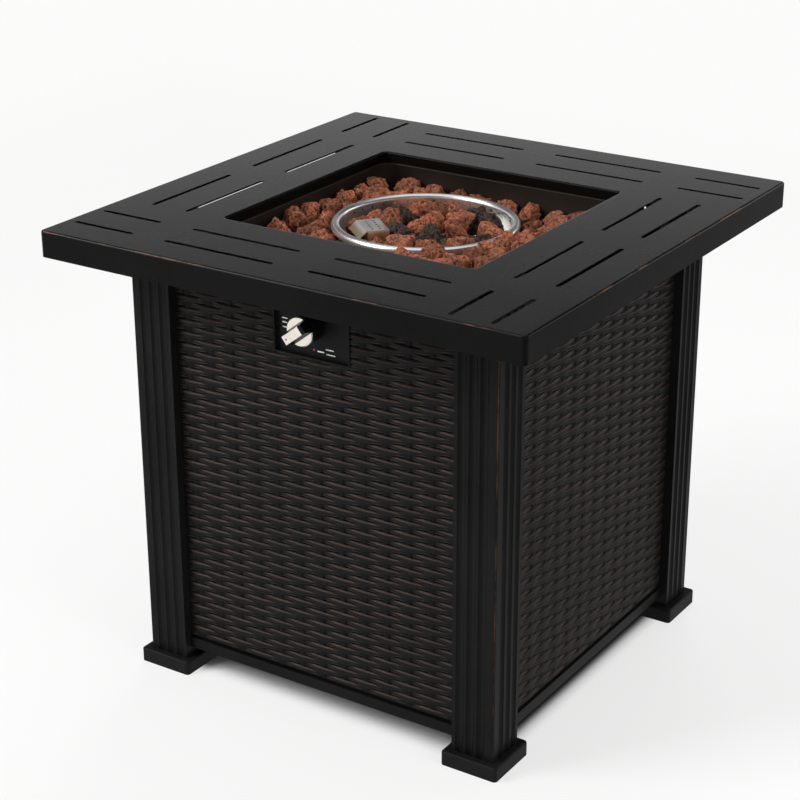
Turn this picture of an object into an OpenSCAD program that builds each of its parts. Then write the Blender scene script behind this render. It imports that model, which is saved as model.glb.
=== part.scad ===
// Square gas fire pit table: a slotted steel top on four fluted posts, with
// wicker-pressed side panels, a hinged tank door, a stainless burner bowl and lava rock.
// Millimetres. The origin is on the floor under the middle of the table, +Z up,
// and the side with the control knob faces -Y.

/* [Table top] */
// Width of the square table top
top_w = 711; // [680:1:760]
// Height of the table top above the floor
table_h = 635; // [610:1:700]
// Depth of the skirt turned down round the outside
skirt_h = 35.5; // [25:0.5:45]
// Sheet thickness of the table top
top_t = 1.6; // [1:0.1:2.2]
// Bend radius along the top edges
edge_r = 3; // [2.5:0.1:5]
// Flat land beside a bend
bend_land = 1; // [0.5:0.1:2]
// Radius of the upright corners of the skirt
corner_r = 6; // [5.5:0.5:12]
// Width of the square fire opening
opening_w = 378; // [360:1:390]
// Corner radius of the fire opening
opening_r = 6; // [5:0.5:10]
// Depth of the lip turned down round the opening
lip_h = 14; // [8:0.5:18]

/* [Slots in the top] */
// Width of a slot
slot_w = 6.5; // [3:0.5:8]
// Length of the two long slots of a row
slot_long = 167; // [120:1:180]
// Length of the short slot at the end of a row
slot_short = 95.5; // [50:0.5:100]
// Solid bridge between the two long slots of a row
slot_bridge = 52; // [40:1:60]
// From the edge of the opening to the inner row
row_inset = 58.4; // [45:0.2:65]
// Distance between the two rows
row_pitch = 56; // [40:1:65]
// From the end of a row to the edge of the table top
row_margin = 15; // [12:1:25]

/* [Posts and feet] */
// Width of the base over the outer faces of the posts
base_w = 552; // [530:1:570]
// Width of a post
post_w = 61; // [58:1:64]
// Sheet thickness of a post
post_t = 1.6; // [1.2:0.1:2]
// Bend radius of a post's outer corner
post_corner_r = 3; // [2.4:0.1:5]
// Flutes on each outer face of a post
flute_count = 3; // [2:1:3]
// Width of a flute
flute_w = 12; // [9:0.5:12.5]
// Depth of a flute
flute_depth = 3; // [1.5:0.1:3.5]
// Flat ridge between two flutes
ridge_w = 3.5; // [3.3:0.1:4.5]
// Flat strip between the outer corner and the first flute
corner_flat = 13; // [10:0.5:14]
// Width of a foot cap
foot_w = 82; // [76:1:90]
// Height of a foot cap
foot_h = 20; // [14:1:26]
// Floor of a foot cap under the post
foot_floor = 4; // [3:0.5:6]
// Radius of a foot cap's upright corners
foot_corner_r = 5; // [4:0.5:8]
// Radius of a foot cap's top edge
foot_edge_r = 3; // [1:0.5:3.5]
// Clearance of a post in its foot cap
foot_clear = 0.2; // [0.1:0.05:0.4]

/* [Side panels] */
// How far the panels stand back from the posts' outer faces
panel_recess = 11.5; // [9:0.5:14]
// Sheet thickness of a panel
panel_t = 1.6; // [1:0.1:2]
// Height of one pressed strand of the wicker
strand_h = 8.3; // [7:0.1:12]
// Groove between two strands
strand_gap = 0.6; // [0.4:0.1:1]
// How far the strands stand out of the sheet
strand_relief = 1.6; // [1:0.1:2]
// Flat border round the pressed strands
panel_border = 6; // [4:0.5:8]
// Depth of a panel over its turned-in edges
panel_depth = 15.5; // [12:0.5:18]
// Gap between the tray and the bottom of the panels
panel_lift = 1.4; // [0.8:0.1:3]
// Open vent between the panels and the underside of the top
vent_h = 36.4; // [36:0.2:40]

/* [Rails and tank tray] */
// Height of the bottom rails above the floor
rail_lift = 33; // [28:1:40]
// Height of a bottom rail
rail_h = 15; // [12:1:20]
// Depth of a bottom rail
rail_depth = 20; // [16:1:24]
// Sheet thickness of a rail
rail_t = 1.6; // [1.2:0.1:2]
// How far the rails stand out of the panels
rail_proud = 1; // [0:0.1:2]
// Sheet thickness of the tank tray
tray_t = 1.6; // [1.2:0.1:2]
// How far the tray laps onto the rails
tray_lap = 8.5; // [6:0.5:10]
// Diameter of the tank well in the tray
well_d = 230; // [215:1:240]
// Depth of the tank well
well_depth = 22; // [12:1:25]
// Diameter of the drain hole in the well
drain_d = 120; // [60:1:140]
// Length of a corner bracket along its panel
bracket_wing = 48; // [30:1:60]
// Width of a corner bracket's shelf under the top
bracket_shelf = 20; // [14:0.5:24]
// Sheet thickness of the corner brackets
bracket_t = 2; // [1.5:0.1:2.5]

/* [Burner] */
// Depth of the burner pan's floor below the table top
pan_depth = 63; // [55:1:64]
// Sheet thickness of the pan
pan_t = 1.5; // [1:0.1:2]
// Clearance between the opening's lip and the pan
pan_clear = 0.4; // [0.2:0.1:0.8]
// Width of the flange that screws to the underside of the top
pan_flange = 14; // [10:0.5:14]
// Inner radius between the pan's walls and floor
pan_bend_r = 5; // [3:0.5:6]
// Diameter of the burner bowl over its rolled rim
bowl_d = 250; // [230:1:260]
// Width of the rolled rim
rim_w = 11; // [8:0.5:13]
// How far the rim lies below the table top
rim_drop = 20; // [16:1:24]
// Depth of the rim's outer turned-down edge
rim_fall = 3; // [1:0.5:5]
// Sheet thickness of the bowl
bowl_t = 1.2; // [0.8:0.1:1.6]
// Inner radius between the bowl's wall and floor
bowl_bend_r = 8; // [5:0.5:10]
// Number of air holes in the bowl's wall, under its rim
rim_holes = 40; // [24:1:72]
// Diameter of an air hole
rim_hole_d = 4; // [2:0.5:5]
// Height from the middle of an air hole to the top of the rim
rim_hole_drop = 10; // [8:0.5:14]
// Diameter of the burner ring over the middle of its tube
ring_d = 92; // [80:1:94]
// Outer diameter of the burner ring's tube
ring_tube_d = 14; // [11:0.5:14]
// Wall of the burner ring's tube
ring_wall = 1.2; // [0.8:0.1:1.6]
// Gas ports in the burner ring
port_count = 18; // [8:1:24]
// Diameter of a gas port
port_d = 2.6; // [1.5:0.1:3]
// Height of the burner hub above the bowl's floor
hub_h = 20; // [17:0.5:22]
// Diameter of the burner hub
hub_d = 28; // [24:1:34]
// Outer diameter of the burner stub
stub_d = 16; // [12:0.5:18]
// Bore of the burner stub
stub_bore = 11; // [8:0.5:11]
// How far the stub reaches into the hub and the elbow
stub_seat = 7; // [5:0.5:9]
// Slip fit of the stub in its seats
stub_clear = 0.05; // [0.02:0.01:0.1]
// Width of the square elbow block
elbow_w = 24; // [22:1:26]
// Length of the air mixer
mixer_len = 48; // [40:1:56]
// Outer diameter of the air mixer
mixer_d = 20; // [18:0.5:22]
// Bore of the air mixer
mixer_bore = 13; // [11:0.5:15]
// Diameter of the gas jet's nozzle
jet_d = 7; // [5:0.5:9]
// Width over the corners of the burner's lock nut
locknut_d = 31; // [28:1:34]
// Length of the hexagon fittings
hex_len = 12; // [8:0.5:14]
// Width over the corners of the hexagon fittings
hex_d = 19; // [17:0.5:22]
// Outer diameter of the gas tube
tube_d = 9.5; // [8:0.5:11]
// Wall of the gas tube
tube_wall = 1; // [0.7:0.1:1.5]

/* [Igniter] */
// Direction of the igniter from the middle of the bowl
igniter_angle = 229; // [0:1:359]
// Distance from the middle of the bowl to the shield's inner edge
shield_in = 57; // [56:1:60]
// Depth of the shield's flat top
shield_top = 31; // [26:1:34]
// Length of the shield
shield_len = 52; // [44:1:58]
// How far the shield's outer side slopes out and down
shield_slope = 10; // [6:0.5:11]
// Sheet thickness of the shield
shield_t = 1.2; // [0.8:0.1:1.6]
// Diameter of the holes in the shield
shield_hole_d = 4; // [3:0.5:5]
// Rows of holes in the shield
shield_rows = 2; // [1:1:3]
// Holes in each row
shield_columns = 5; // [3:1:6]
// Diameter of the electrode's ceramic and the thermocouple
probe_d = 6; // [5:0.5:7]
// Distance between the electrode and the thermocouple
probe_pitch = 18; // [14:1:24]
// How far the probes reach below the pan
probe_tail = 12; // [8:1:16]
// Height of the probes' bracket above the bowl's floor
probe_lift = 12; // [9:0.5:15]
// Length of a probe above its bracket
probe_head = 8; // [6:0.5:10]
// Width and height of a probe's collar
probe_collar = [1, 2]; // [0.5:0.1:3]
// Clearance of the probes in their holes
probe_clear = 0.05; // [0.02:0.01:0.1]

/* [Controls] */
// Width of the control pocket
pocket_w = 115; // [100:1:125]
// Height of the control pocket
pocket_h = 88; // [80:1:89]
// Depth of the control pocket
pocket_depth = 7; // [5:0.5:8]
// Sheet thickness of the control plate
plate_t = 1.5; // [1:0.1:2]
// Clearance of the pocket in the front panel's cut-out
pocket_clear = 0.2; // [0.1:0.05:0.4]
// Width of the pocket's flange behind the front panel
pocket_flange = 5; // [3:0.2:5]
// Height of the knob's axis below the table top
knob_drop = 87.5; // [86:0.5:92]
// Diameter of the knob
knob_d = 41; // [34:0.5:46]
// Length of the knob's body
knob_len = 26.5; // [20:0.5:30]
// Chamfer round the knob's face
knob_chamfer = 1.5; // [1:0.1:2.5]
// Height of the grip bar on the knob's face
grip_h = 13; // [9:0.5:15]
// Width of the grip bar
grip_w = 13; // [8:0.5:14]
// Length of the grip bar's front edge
grip_len = 34; // [24:0.5:36]
// Direction in which the grip bar's marked end points
knob_angle = 218; // [0:1:359]
// How far the knob can be pushed in
knob_push = 4; // [2:0.5:4]
// Free gap left behind a knob that is pushed in
knob_gap = 1; // [0.5:0.1:2]
// Diameter of the valve's stem
stem_d = 6; // [5:0.5:8]
// Flat on the stem, from its axis
stem_flat = 2; // [1.5:0.1:2.2]
// Depth of the stem's seat in the knob
stem_seat = 20; // [14:0.5:22]
// Slip fit of the stem in the knob
stem_fit = 0.02; // [0.01:0.01:0.05]
// Running clearance of the stem and the plug
run_clear = 0.05; // [0.03:0.01:0.1]
// Diameter of the valve body
valve_d = 34; // [30:1:40]
// Length of the valve body behind the plate
valve_len = 34; // [32:1:40]
// Diameter of the valve plug
plug_d = 18; // [15:0.5:20]
// Length of the valve plug
plug_len = 19; // [16:0.5:20]
// End play of the valve plug
plug_play = 0.5; // [0.3:0.1:0.8]
// Diameter of the valve's inlet and outlet bosses
boss_d = 18; // [15:0.5:20]
// Length of the valve's outlet boss
outlet_len = 17; // [12:0.5:20]
// Length of the threaded inlet nipple
nipple_len = 14; // [10:0.5:18]
// Outer diameter of the inlet nipple
nipple_d = 15.88; // [12:0.01:16]
// Bore of the inlet nipple
nipple_bore = 8; // [5:0.5:9]

/* [Tank door] */
// Gap between the door and the posts
door_gap = 2; // [1.8:0.1:3]
// How far the door's top lies below the panels' tops
door_drop = 15; // [10:0.5:25]
// Distance from the hinges' middle to the door's ends
hinge_inset = 80; // [60:1:120]
// Height of a hinge
hinge_h = 42; // [36:1:54]
// Diameter of a hinge knuckle
knuckle_d = 7; // [6:0.2:7.4]
// Distance from the posts' inner side to the hinge axis
hinge_in = 4; // [3.8:0.1:4.4]
// Clearance between a knuckle and the face of the door
knuckle_clear = 0.5; // [0.4:0.1:0.8]
// Gap between two knuckles
knuckle_gap = 0.4; // [0.3:0.1:0.6]
// Sheet thickness of the hinge leaves
leaf_t = 1.2; // [0.8:0.1:1.3]
// Length of a hinge leaf
leaf_len = 22; // [16:1:30]
// Diameter of a hinge pin
pin_d = 3.2; // [2.5:0.1:3.6]
// Press fit of a hinge pin in the fixed leaf
pin_press = 0.01; // [0.01:0.01:0.03]
// Diameter and height of a hinge pin's head
pin_head = [5.4, 1.4]; // [1:0.1:7]
// Diameter of the door pull
pull_d = 24; // [18:1:30]
// Length of the door pull
pull_len = 20; // [14:1:24]
// Distance from the door's free edge to the pull
pull_inset = 30; // [24:1:50]
// Width, depth and height of the magnetic catch
magnet = [16, 13, 32]; // [8:1:40]
// Gap between the magnet and its strike
catch_gap = 0.3; // [0.2:0.1:0.5]
// Thickness of the strike plate
strike_t = 1.5; // [1:0.1:2]

/* [Lava rock] */
// Spacing of the rocks in the pan
rock_pitch = 38; // [36:0.5:44]
// Smallest and largest radius of a rock
rock_r = [15.5, 21.5]; // [12:0.5:26]
// Mean height of the bed of rock above the pan's floor
bed_h = 40; // [34:0.5:44]
// How far the bed swells towards one side and towards two opposite sides
heap_h = [12, 10]; // [0:0.5:14]
// Directions of the two swells
heap_angle = [290, 325]; // [0:1:359]
// How far the rock spreads from the bowl
rock_spread = 100; // [70:1:140]
// Height of the rock in the bowl over the rim, at the middle and at the wall
dome_h = [10, -8]; // [-12:0.5:14]
// How far a rock may stand above or below the bed
rock_scatter = 4; // [0:0.5:6]
// Clearance between neighbouring rocks
rock_gap = 0.3; // [0.2:0.05:0.6]
// How far the highest rock stays below the table top
rock_drop = 6; // [5:0.5:12]
// Seed for the shapes of the rocks
rock_seed = 7; // [1:1:99]

/* [Hidden] */
$fn = 64;

// Sides are numbered by the turn from the front: 0 front, 90 right, 180 back, 270 left.
front_right = 0;
right_back = 90;
back_left = 180;
left_front = 270;

// Heights and planes that several pieces share
top_under = table_h - top_t;
base_half = base_w / 2;
post_in = base_half - post_w;
panel_face = base_half - panel_recess;
panel_back = panel_face - strand_relief - panel_t;
rail_top = rail_lift + rail_h;
rail_face = panel_face + rail_proud;
tray_half = rail_face - rail_depth + tray_lap + rail_t;
tray_top = rail_top + tray_t;
panel_bottom = tray_top + panel_lift;
panel_top = top_under - vent_h;
door_top = panel_top - door_drop;
pan_floor = table_h - pan_depth;
pan_under = pan_floor - pan_t;
bowl_floor = pan_floor + bowl_t;
bowl_r = bowl_d / 2;
rim_r = rim_w / 2;
rim_top = table_h - rim_drop;
bowl_in = bowl_r - rim_w;
knob_z = table_h - knob_drop;
plate_face = panel_face - pocket_depth;
plate_back = plate_face - plate_t;
knob_back = plate_face + knob_push + knob_gap;
elbow_z = knob_z;
cut = 1;

module turned(side) {
    rotate([0, 0, side]) children();
}

// A square with rounded corners, centred
module rounded_square(w, r) {
    square([w, w - 2 * r], center = true);
    square([w - 2 * r, w], center = true);
    for (x = [-1, 1], y = [-1, 1])
        translate([x * (w / 2 - r), y * (w / 2 - r)])
            circle(r);
}

// Carries an upright section round a square loop. The section's x is measured
// from the centre of the corner arcs, so x = r lies on the square's sides.
module square_loop(half, r) {
    straight = half - r;
    for (side = [0 : 90 : 270])
        turned(side) {
            translate([straight, straight, 0])
                rotate([90, 0, 0])
                    linear_extrude(2 * straight)
                        children();
            translate([straight, straight, 0])
                rotate_extrude(angle = 90)
                    children();
        }
}

// Section of a sheet that runs out to w, bends with radius r and hangs down by h
module bent_section(w, h, r, t) {
    translate([0, -t])
        square([w - r, t]);
    translate([w - t, -h])
        square([t, h - r]);
    translate([w - r, -r])
        quarter_ring(r, t);
}

module quarter_ring(r, t) {
    intersection() {
        difference() {
            circle(r);
            circle(r - t);
        }
        square(r);
    }
}

// A rod along Y from y0 to y1
module rod_y(d, y0, y1) {
    translate([0, y1, 0])
        rotate([90, 0, 0])
            cylinder(d = d, h = y1 - y0);
}

module hexagon_y(d, y0, y1) {
    translate([0, y1, 0])
        rotate([90, 0, 0])
            cylinder(d = d, h = y1 - y0, $fn = 6);
}

// Table top

module slot(len) {
    translate([0, -slot_w / 2])
        square([len, slot_w]);
    for (x = [0, len])
        translate([x, 0])
            circle(d = slot_w);
}

// One row of slots: two long ones about the middle of the side and a short one
module slot_row() {
    end = slot_w / 2;
    starts = [-slot_long - slot_bridge / 2, slot_bridge / 2, top_w / 2 - row_margin - slot_short];
    lengths = [slot_long, slot_long, slot_short];
    for (i = [0 : 2])
        translate([starts[i] + end, 0])
            slot(lengths[i] - slot_w);
}

module tabletop() {
    half = top_w / 2;
    lip_land = edge_r + bend_land;
    color("#2b2927") {
        difference() {
            translate([0, 0, top_under])
                linear_extrude(top_t)
                    difference() {
                        square(2 * (half - corner_r), center = true);
                        rounded_square(opening_w + 2 * lip_land, opening_r + lip_land);
                    }
            for (side = [0 : 90 : 270], row = [0, 1])
                turned(side)
                    translate([0, -opening_w / 2 - row_inset - row * row_pitch, top_under - cut])
                        rotate([0, 0, 180])
                            linear_extrude(top_t + 2 * cut)
                                slot_row();
        }
        translate([0, 0, table_h])
            square_loop(half, corner_r)
                bent_section(corner_r, skirt_h, edge_r, top_t);
        translate([0, 0, table_h])
            square_loop(opening_w / 2, opening_r)
                translate([opening_r + lip_land, 0])
                    mirror([1, 0])
                        bent_section(lip_land, lip_h, edge_r, top_t);
    }
}

// Burner pan, bowl and gas train

pan_in = opening_w / 2 + top_t + pan_clear;
pan_corner_r = opening_r + top_t + pan_clear;
pan_straight = opening_w / 2 - opening_r;

// Wall and floor of the pan, from the centre of its corner arcs. The wall ends
// under the bend of the opening's lip.
module pan_section() {
    bend_in = pan_corner_r - pan_bend_r;
    translate([pan_corner_r, pan_floor + pan_bend_r])
        square([pan_t, top_under - edge_r - pan_floor - pan_bend_r]);
    translate([bend_in, pan_floor + pan_bend_r])
        mirror([0, 1])
            quarter_ring(pan_bend_r + pan_t, pan_t);
    translate([0, pan_under])
        square([bend_in, pan_t]);
}

// Flange along one side of the pan, bent out of its wall and open at the corners
module pan_side_flange() {
    translate([pan_in, pan_straight, top_under])
        rotate([90, 0, 0])
            linear_extrude(2 * pan_straight)
                translate([pan_flange, 0])
                    mirror([1, 0])
                        bent_section(pan_flange, edge_r + bend_land, edge_r, pan_t);
}

module burner_holes(z0, z1) {
    translate([0, 0, z0])
        cylinder(d = stub_d + 2 * stub_clear, h = z1 - z0);
    at_probes()
        translate([0, 0, z0])
            cylinder(d = probe_d + 2 * probe_clear, h = z1 - z0);
}

module burner_pan() {
    color("#1d1916") {
        square_loop(opening_w / 2, opening_r)
            pan_section();
        for (side = [0 : 90 : 270])
            turned(side)
                pan_side_flange();
        difference() {
            translate([-pan_straight, -pan_straight, pan_under])
                cube([2 * pan_straight, 2 * pan_straight, pan_t]);
            burner_holes(pan_under - cut, pan_floor + cut);
        }
    }
}

module bowl_section() {
    rim_mid = bowl_r - rim_r;
    rim_z = rim_top - rim_r;
    bend_x = bowl_in - bowl_bend_r;
    bend_z = bowl_floor + bowl_bend_r;
    translate([rim_mid, rim_z]) {
        quarter_ring(rim_r, bowl_t);
        mirror([1, 0])
            quarter_ring(rim_r, bowl_t);
    }
    translate([bowl_r - bowl_t, rim_z - rim_fall])
        square([bowl_t, rim_fall]);
    translate([bowl_in, bend_z])
        square([bowl_t, rim_z - bend_z]);
    translate([bend_x, bend_z])
        mirror([0, 1])
            quarter_ring(bowl_bend_r + bowl_t, bowl_t);
    translate([0, pan_floor])
        square([bend_x, bowl_t]);
}

module burner_bowl() {
    hole_z = rim_top - rim_hole_drop;
    color("#c9c9c6")
        difference() {
            rotate_extrude()
                bowl_section();
            burner_holes(pan_floor - cut, bowl_floor + cut);
            for (i = [0 : rim_holes - 1])
                rotate(360 / rim_holes * i)
                    translate([bowl_in - cut, 0, hole_z])
                        rotate([0, 90, 0])
                            cylinder(d = rim_hole_d, h = bowl_t + 2 * cut);
        }
}

module burner_ring() {
    ring_z = bowl_floor + hub_h - ring_tube_d / 2;
    spoke_d = ring_tube_d - 3 * ring_wall;
    color("#b4b3b0")
        difference() {
            union() {
                translate([0, 0, ring_z])
                    rotate_extrude()
                        translate([ring_d / 2, 0])
                            circle(d = ring_tube_d);
                translate([0, 0, bowl_floor])
                    cylinder(d = hub_d, h = hub_h);
                for (a = [0 : 120 : 240])
                    rotate([0, 0, igniter_angle + 60 + a])
                        translate([0, 0, ring_z])
                            rotate([0, 90, 0])
                                cylinder(d = spoke_d, h = ring_d / 2);
            }
            translate([0, 0, ring_z])
                rotate_extrude()
                    translate([ring_d / 2, 0])
                        circle(d = ring_tube_d - 2 * ring_wall);
            translate([0, 0, bowl_floor - cut])
                cylinder(d = stub_d + 2 * stub_clear, h = stub_seat + cut);
            for (i = [0 : port_count - 1])
                rotate([0, 0, i * 360 / port_count])
                    translate([ring_d / 2, 0, ring_z])
                        cylinder(d = port_d, h = ring_tube_d);
        }
}

module burner_stub() {
    z0 = elbow_z + elbow_w / 2 - stub_seat;
    color("#c7a24d")
        translate([0, 0, z0])
            difference() {
                cylinder(d = stub_d, h = bowl_floor + stub_seat - z0);
                translate([0, 0, -cut])
                    cylinder(d = stub_bore, h = bowl_floor + stub_seat - z0 + 2 * cut);
            }
}

module burner_locknut() {
    color("#c7a24d")
        translate([0, 0, pan_under - hex_len / 2])
            difference() {
                cylinder(d = locknut_d, h = hex_len / 2, $fn = 6);
                translate([0, 0, -cut])
                    cylinder(d = stub_d + 2 * stub_clear, h = hex_len);
            }
}

module burner_elbow() {
    color("#c7a24d")
        translate([0, 0, elbow_z])
            difference() {
                cube(elbow_w, center = true);
                translate([0, 0, elbow_w / 2 - stub_seat])
                    cylinder(d = stub_d + 2 * stub_clear, h = elbow_w);
                cylinder(d = stub_bore, h = elbow_w);
                rod_y(stub_bore, -elbow_w, 0);
            }
}

// The air mixer and the jet lie along Y on the elbow's axis
mixer_y1 = -elbow_w / 2;
mixer_y0 = mixer_y1 - mixer_len;

module air_mixer() {
    window_len = mixer_len / 3;
    color("#b4b3b0")
        translate([0, 0, elbow_z])
            difference() {
                rod_y(mixer_d, mixer_y0, mixer_y1);
                rod_y(mixer_bore, mixer_y0 - cut, mixer_y1 + cut);
                translate([-mixer_d, mixer_y0 + window_len, -mixer_bore / 4])
                    cube([2 * mixer_d, window_len, mixer_bore / 2]);
            }
}

module gas_jet() {
    color("#c7a24d")
        translate([0, 0, elbow_z]) {
            hexagon_y(hex_d, mixer_y0 - hex_len, mixer_y0);
            rod_y(jet_d, mixer_y0, mixer_y0 + mixer_len / 4);
        }
}

module gas_tube() {
    y0 = -(plate_back - valve_len - outlet_len);
    y1 = mixer_y0 - hex_len;
    color("#c4c6c8")
        translate([0, 0, elbow_z])
            difference() {
                rod_y(tube_d, y0, y1);
                rod_y(tube_d - 2 * tube_wall, y0 - cut, y1 + cut);
            }
}

// Igniter in the bowl

shield_z = rim_top - bend_land;
probe_x = shield_in + shield_top / 2;
bracket_z = bowl_floor + probe_lift;

module at_probes() {
    rotate([0, 0, igniter_angle])
        for (y = [-0.5, 0.5])
            translate([probe_x, y * probe_pitch, 0])
                children();
}

module igniter_shield() {
    fold = shield_in + shield_top;
    lean = shield_t * (sqrt(2) - 1);
    leg_h = shield_z - shield_t - bowl_floor;
    color("#cdccc8")
        rotate([0, 0, igniter_angle])
            difference() {
                union() {
                    translate([0, shield_len / 2, 0])
                        rotate([90, 0, 0])
                            linear_extrude(shield_len)
                                polygon([
                                    [shield_in, shield_z - shield_t],
                                    [fold - lean, shield_z - shield_t],
                                    [fold - lean + shield_slope, shield_z - shield_t - shield_slope],
                                    [fold + shield_t + shield_slope - lean, shield_z - shield_slope],
                                    [fold, shield_z],
                                    [shield_in, shield_z]
                                ]);
                    for (y = [-shield_len / 2, shield_len / 2 - shield_t])
                        translate([shield_in, y, bowl_floor])
                            cube([shield_top - lean - cut, shield_t, leg_h]);
                }
                for (i = [1 : shield_rows], j = [1 : shield_columns])
                    translate([
                        shield_in + i * shield_top / (shield_rows + 1),
                        (j / (shield_columns + 1) - 0.5) * shield_len,
                        shield_z - 3 * shield_t
                    ])
                        cylinder(d = shield_hole_d, h = 4 * shield_t);
            }
}

module igniter_bracket() {
    width = probe_pitch + 2 * probe_d;
    depth = 2 * probe_d;
    color("#b4b3b0")
        difference() {
            rotate([0, 0, igniter_angle])
                translate([probe_x - probe_d, -width / 2, 0]) {
                    translate([0, 0, bracket_z])
                        cube([depth, width, shield_t]);
                    translate([depth - shield_t, 0, bowl_floor])
                        cube([shield_t, width, bracket_z - bowl_floor]);
                }
            at_probes()
                translate([0, 0, bowl_floor - cut])
                    cylinder(d = probe_d + 2 * probe_clear, h = bracket_z);
        }
}

probe_z0 = pan_under - probe_tail;

module probe(side, z1) {
    rotate([0, 0, igniter_angle])
        translate([probe_x, side * probe_pitch / 2, probe_z0]) {
            cylinder(d = probe_d, h = bracket_z - probe_z0 + probe_head);
            cylinder(d = probe_d / 3, h = z1 - probe_z0);
            translate([0, 0, bracket_z + shield_t - probe_z0])
                cylinder(d = probe_d + 2 * probe_collar[0], h = probe_collar[1]);
        }
}

module ignition_electrode() {
    color("#e8e4da")
        probe(-1, shield_z - 3 * shield_t);
}

module thermocouple() {
    color("#b87345")
        probe(1, shield_z - 5 * shield_t);
}

// Lava rock. Each rock is a knobbly ball [x, y, z, r] that reaches down to its floor and is
// cut back to flat faces between it and its neighbours, so that no two rocks meet.

ring_points = 7;
levels = [-45, 0, 45];
bump_range = [0.84, 1.2];
rock_rays = concat(
    [[0, 0, -1]],
    [for (k = [0 : 2], j = [0 : ring_points - 1])
        let (az = (j + k / 2) * 360 / ring_points)
        [cos(levels[k]) * cos(az), cos(levels[k]) * sin(az), sin(levels[k])]],
    [[0, 0, 1]]
);
last_ray = len(rock_rays) - 1;

function ring_ray(k, j) = 1 + k * ring_points + j % ring_points;

rock_faces = concat(
    [for (j = [0 : ring_points - 1]) [0, ring_ray(0, j), ring_ray(0, j + 1)]],
    [for (k = [0, 1], j = [0 : ring_points - 1])
        [ring_ray(k, j), ring_ray(k + 1, j), ring_ray(k, j + 1)]],
    [for (k = [0, 1], j = [0 : ring_points - 1])
        [ring_ray(k, j + 1), ring_ray(k + 1, j), ring_ray(k + 1, j + 1)]],
    [for (j = [0 : ring_points - 1]) [last_ray, ring_ray(2, j + 1), ring_ray(2, j)]]
);

function place(rock) = [rock[0], rock[1], rock[2]];

// A limit is a plane, given as its normal and its distance from the origin. Between
// two rocks it lies nearer to the smaller one.
function between(a, b) =
    let (
        step = place(b) - place(a),
        d = norm(step),
        share = (d + (pow(a[3], 2) - pow(b[3], 2)) / d) / 2
    )
    [step / d, step * place(a) / d + share - rock_gap / 2];

function neighbours(rocks, i) =
    [for (j = [0 : len(rocks) - 1])
        if (j != i && norm(place(rocks[j]) - place(rocks[i])) < 4 * rock_r[1]) between(rocks[i], rocks[j])];

function reach(p, ray, limits) =
    min([for (m = limits) ray * m[0] > 0.001 ? (m[1] - p * m[0]) / (ray * m[0]) : 10 * rock_r[1]]);

function rock_points(rock, floor_z, limits, seed) =
    let (
        p = place(rock),
        bumps = rands(bump_range[0], bump_range[1], last_ray + 1, seed),
        foot = (p[2] - floor_z) / bump_range[0],
        all_limits = concat([[[0, 0, -1], -floor_z - rock_gap], [[0, 0, 1], rock_top]], limits)
    )
    [for (i = [0 : last_ray])
        let (ray = rock_rays[i], size = ray[2] < 0 ? foot : rock[3])
        p + ray * min(size * bumps[i], reach(p, ray, all_limits))];

module rock(rocks, i, floor_z, limits, seed) {
    polyhedron(
        rock_points(rocks[i], floor_z, concat(neighbours(rocks, i), limits), seed),
        rock_faces,
        convexity = 2
    );
}

rock_top = table_h - rock_drop;

// Rocks in the pan, on a shaken square grid outside the bowl
rock_count = floor(2 * pan_in / rock_pitch);
grid_mid = (rock_count - 1) / 2;
shake = rands(-0.16, 0.16, 2 * rock_count * rock_count, rock_seed);
pan_scatter = rands(-rock_scatter, rock_scatter, rock_count * rock_count, rock_seed + 1);
pan_sizes = rands(rock_r[0], rock_r[1], rock_count * rock_count, rock_seed + 2);

function bed_top(az) =
    pan_floor + bed_h + heap_h[0] * cos(az - heap_angle[0]) + heap_h[1] * cos(2 * (az - heap_angle[1]));

pan_rocks = [
    for (i = [0 : rock_count - 1], j = [0 : rock_count - 1])
        let (
            k = i * rock_count + j,
            x = (i - grid_mid + shake[2 * k]) * rock_pitch,
            y = (j - grid_mid + shake[2 * k + 1]) * rock_pitch,
            z = bed_top(atan2(y, x)) + pan_scatter[k] - pan_sizes[k],
            out = norm([x, y]) - bowl_r
        )
        if (out > rock_r[0] / 2 && out < rock_spread)
            [x, y, max(z, pan_floor + pan_sizes[k] / 2), pan_sizes[k]]
];

// Each wall of the pan, the chord of its bend at the floor and the chord of its
// corner are limits, and so is the bowl's rim
function pan_limits(p) =
    let (
        out = [p[0], p[1], 0] / norm([p[0], p[1]]),
        wall = pan_in - rock_gap,
        bend = (pan_in - pan_floor - pan_bend_r) / sqrt(2) - rock_gap,
        corner = (2 * pan_in - pan_corner_r) / sqrt(2) - rock_gap
    )
    concat(
        [[-out, -bowl_r - rock_gap]],
        [for (a = [0 : 90 : 270])
            let (u = [cos(a), sin(a), 0], v = [-sin(a), cos(a), 0])
            each [[u, wall], [(u - [0, 0, 1]) / sqrt(2), bend], [(u + v) / sqrt(2), corner]]]
    );

module lava_rocks_pan() {
    color("#7a4a38")
        for (i = [0 : len(pan_rocks) - 1])
            rock(pan_rocks, i, pan_floor, pan_limits(pan_rocks[i]), rock_seed + 10 + i);
}

// Rocks in the bowl: one on the hub, a ring of them on the burner ring and a ring on the
// bowl's floor, where the place of the igniter stays free
bowl_bed = bowl_floor + hub_h;
bowl_rings = [ring_d / 2, ring_d / 2 + bowl_in * 0.35];
bowl_counts = [7, 14];
bowl_floors = [bowl_bed, bowl_floor];
bowl_sides = 36;
bowl_total = max(bowl_counts);
bowl_scatter = rands(-rock_scatter, rock_scatter, 2 * bowl_total, rock_seed + 3);
bowl_sizes = rands(rock_r[0], rock_r[1], 2 * bowl_total, rock_seed + 4);

function dome_top(d) = rim_top + dome_h[0] + (dome_h[1] - dome_h[0]) * pow(d / bowl_in, 2);

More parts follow.
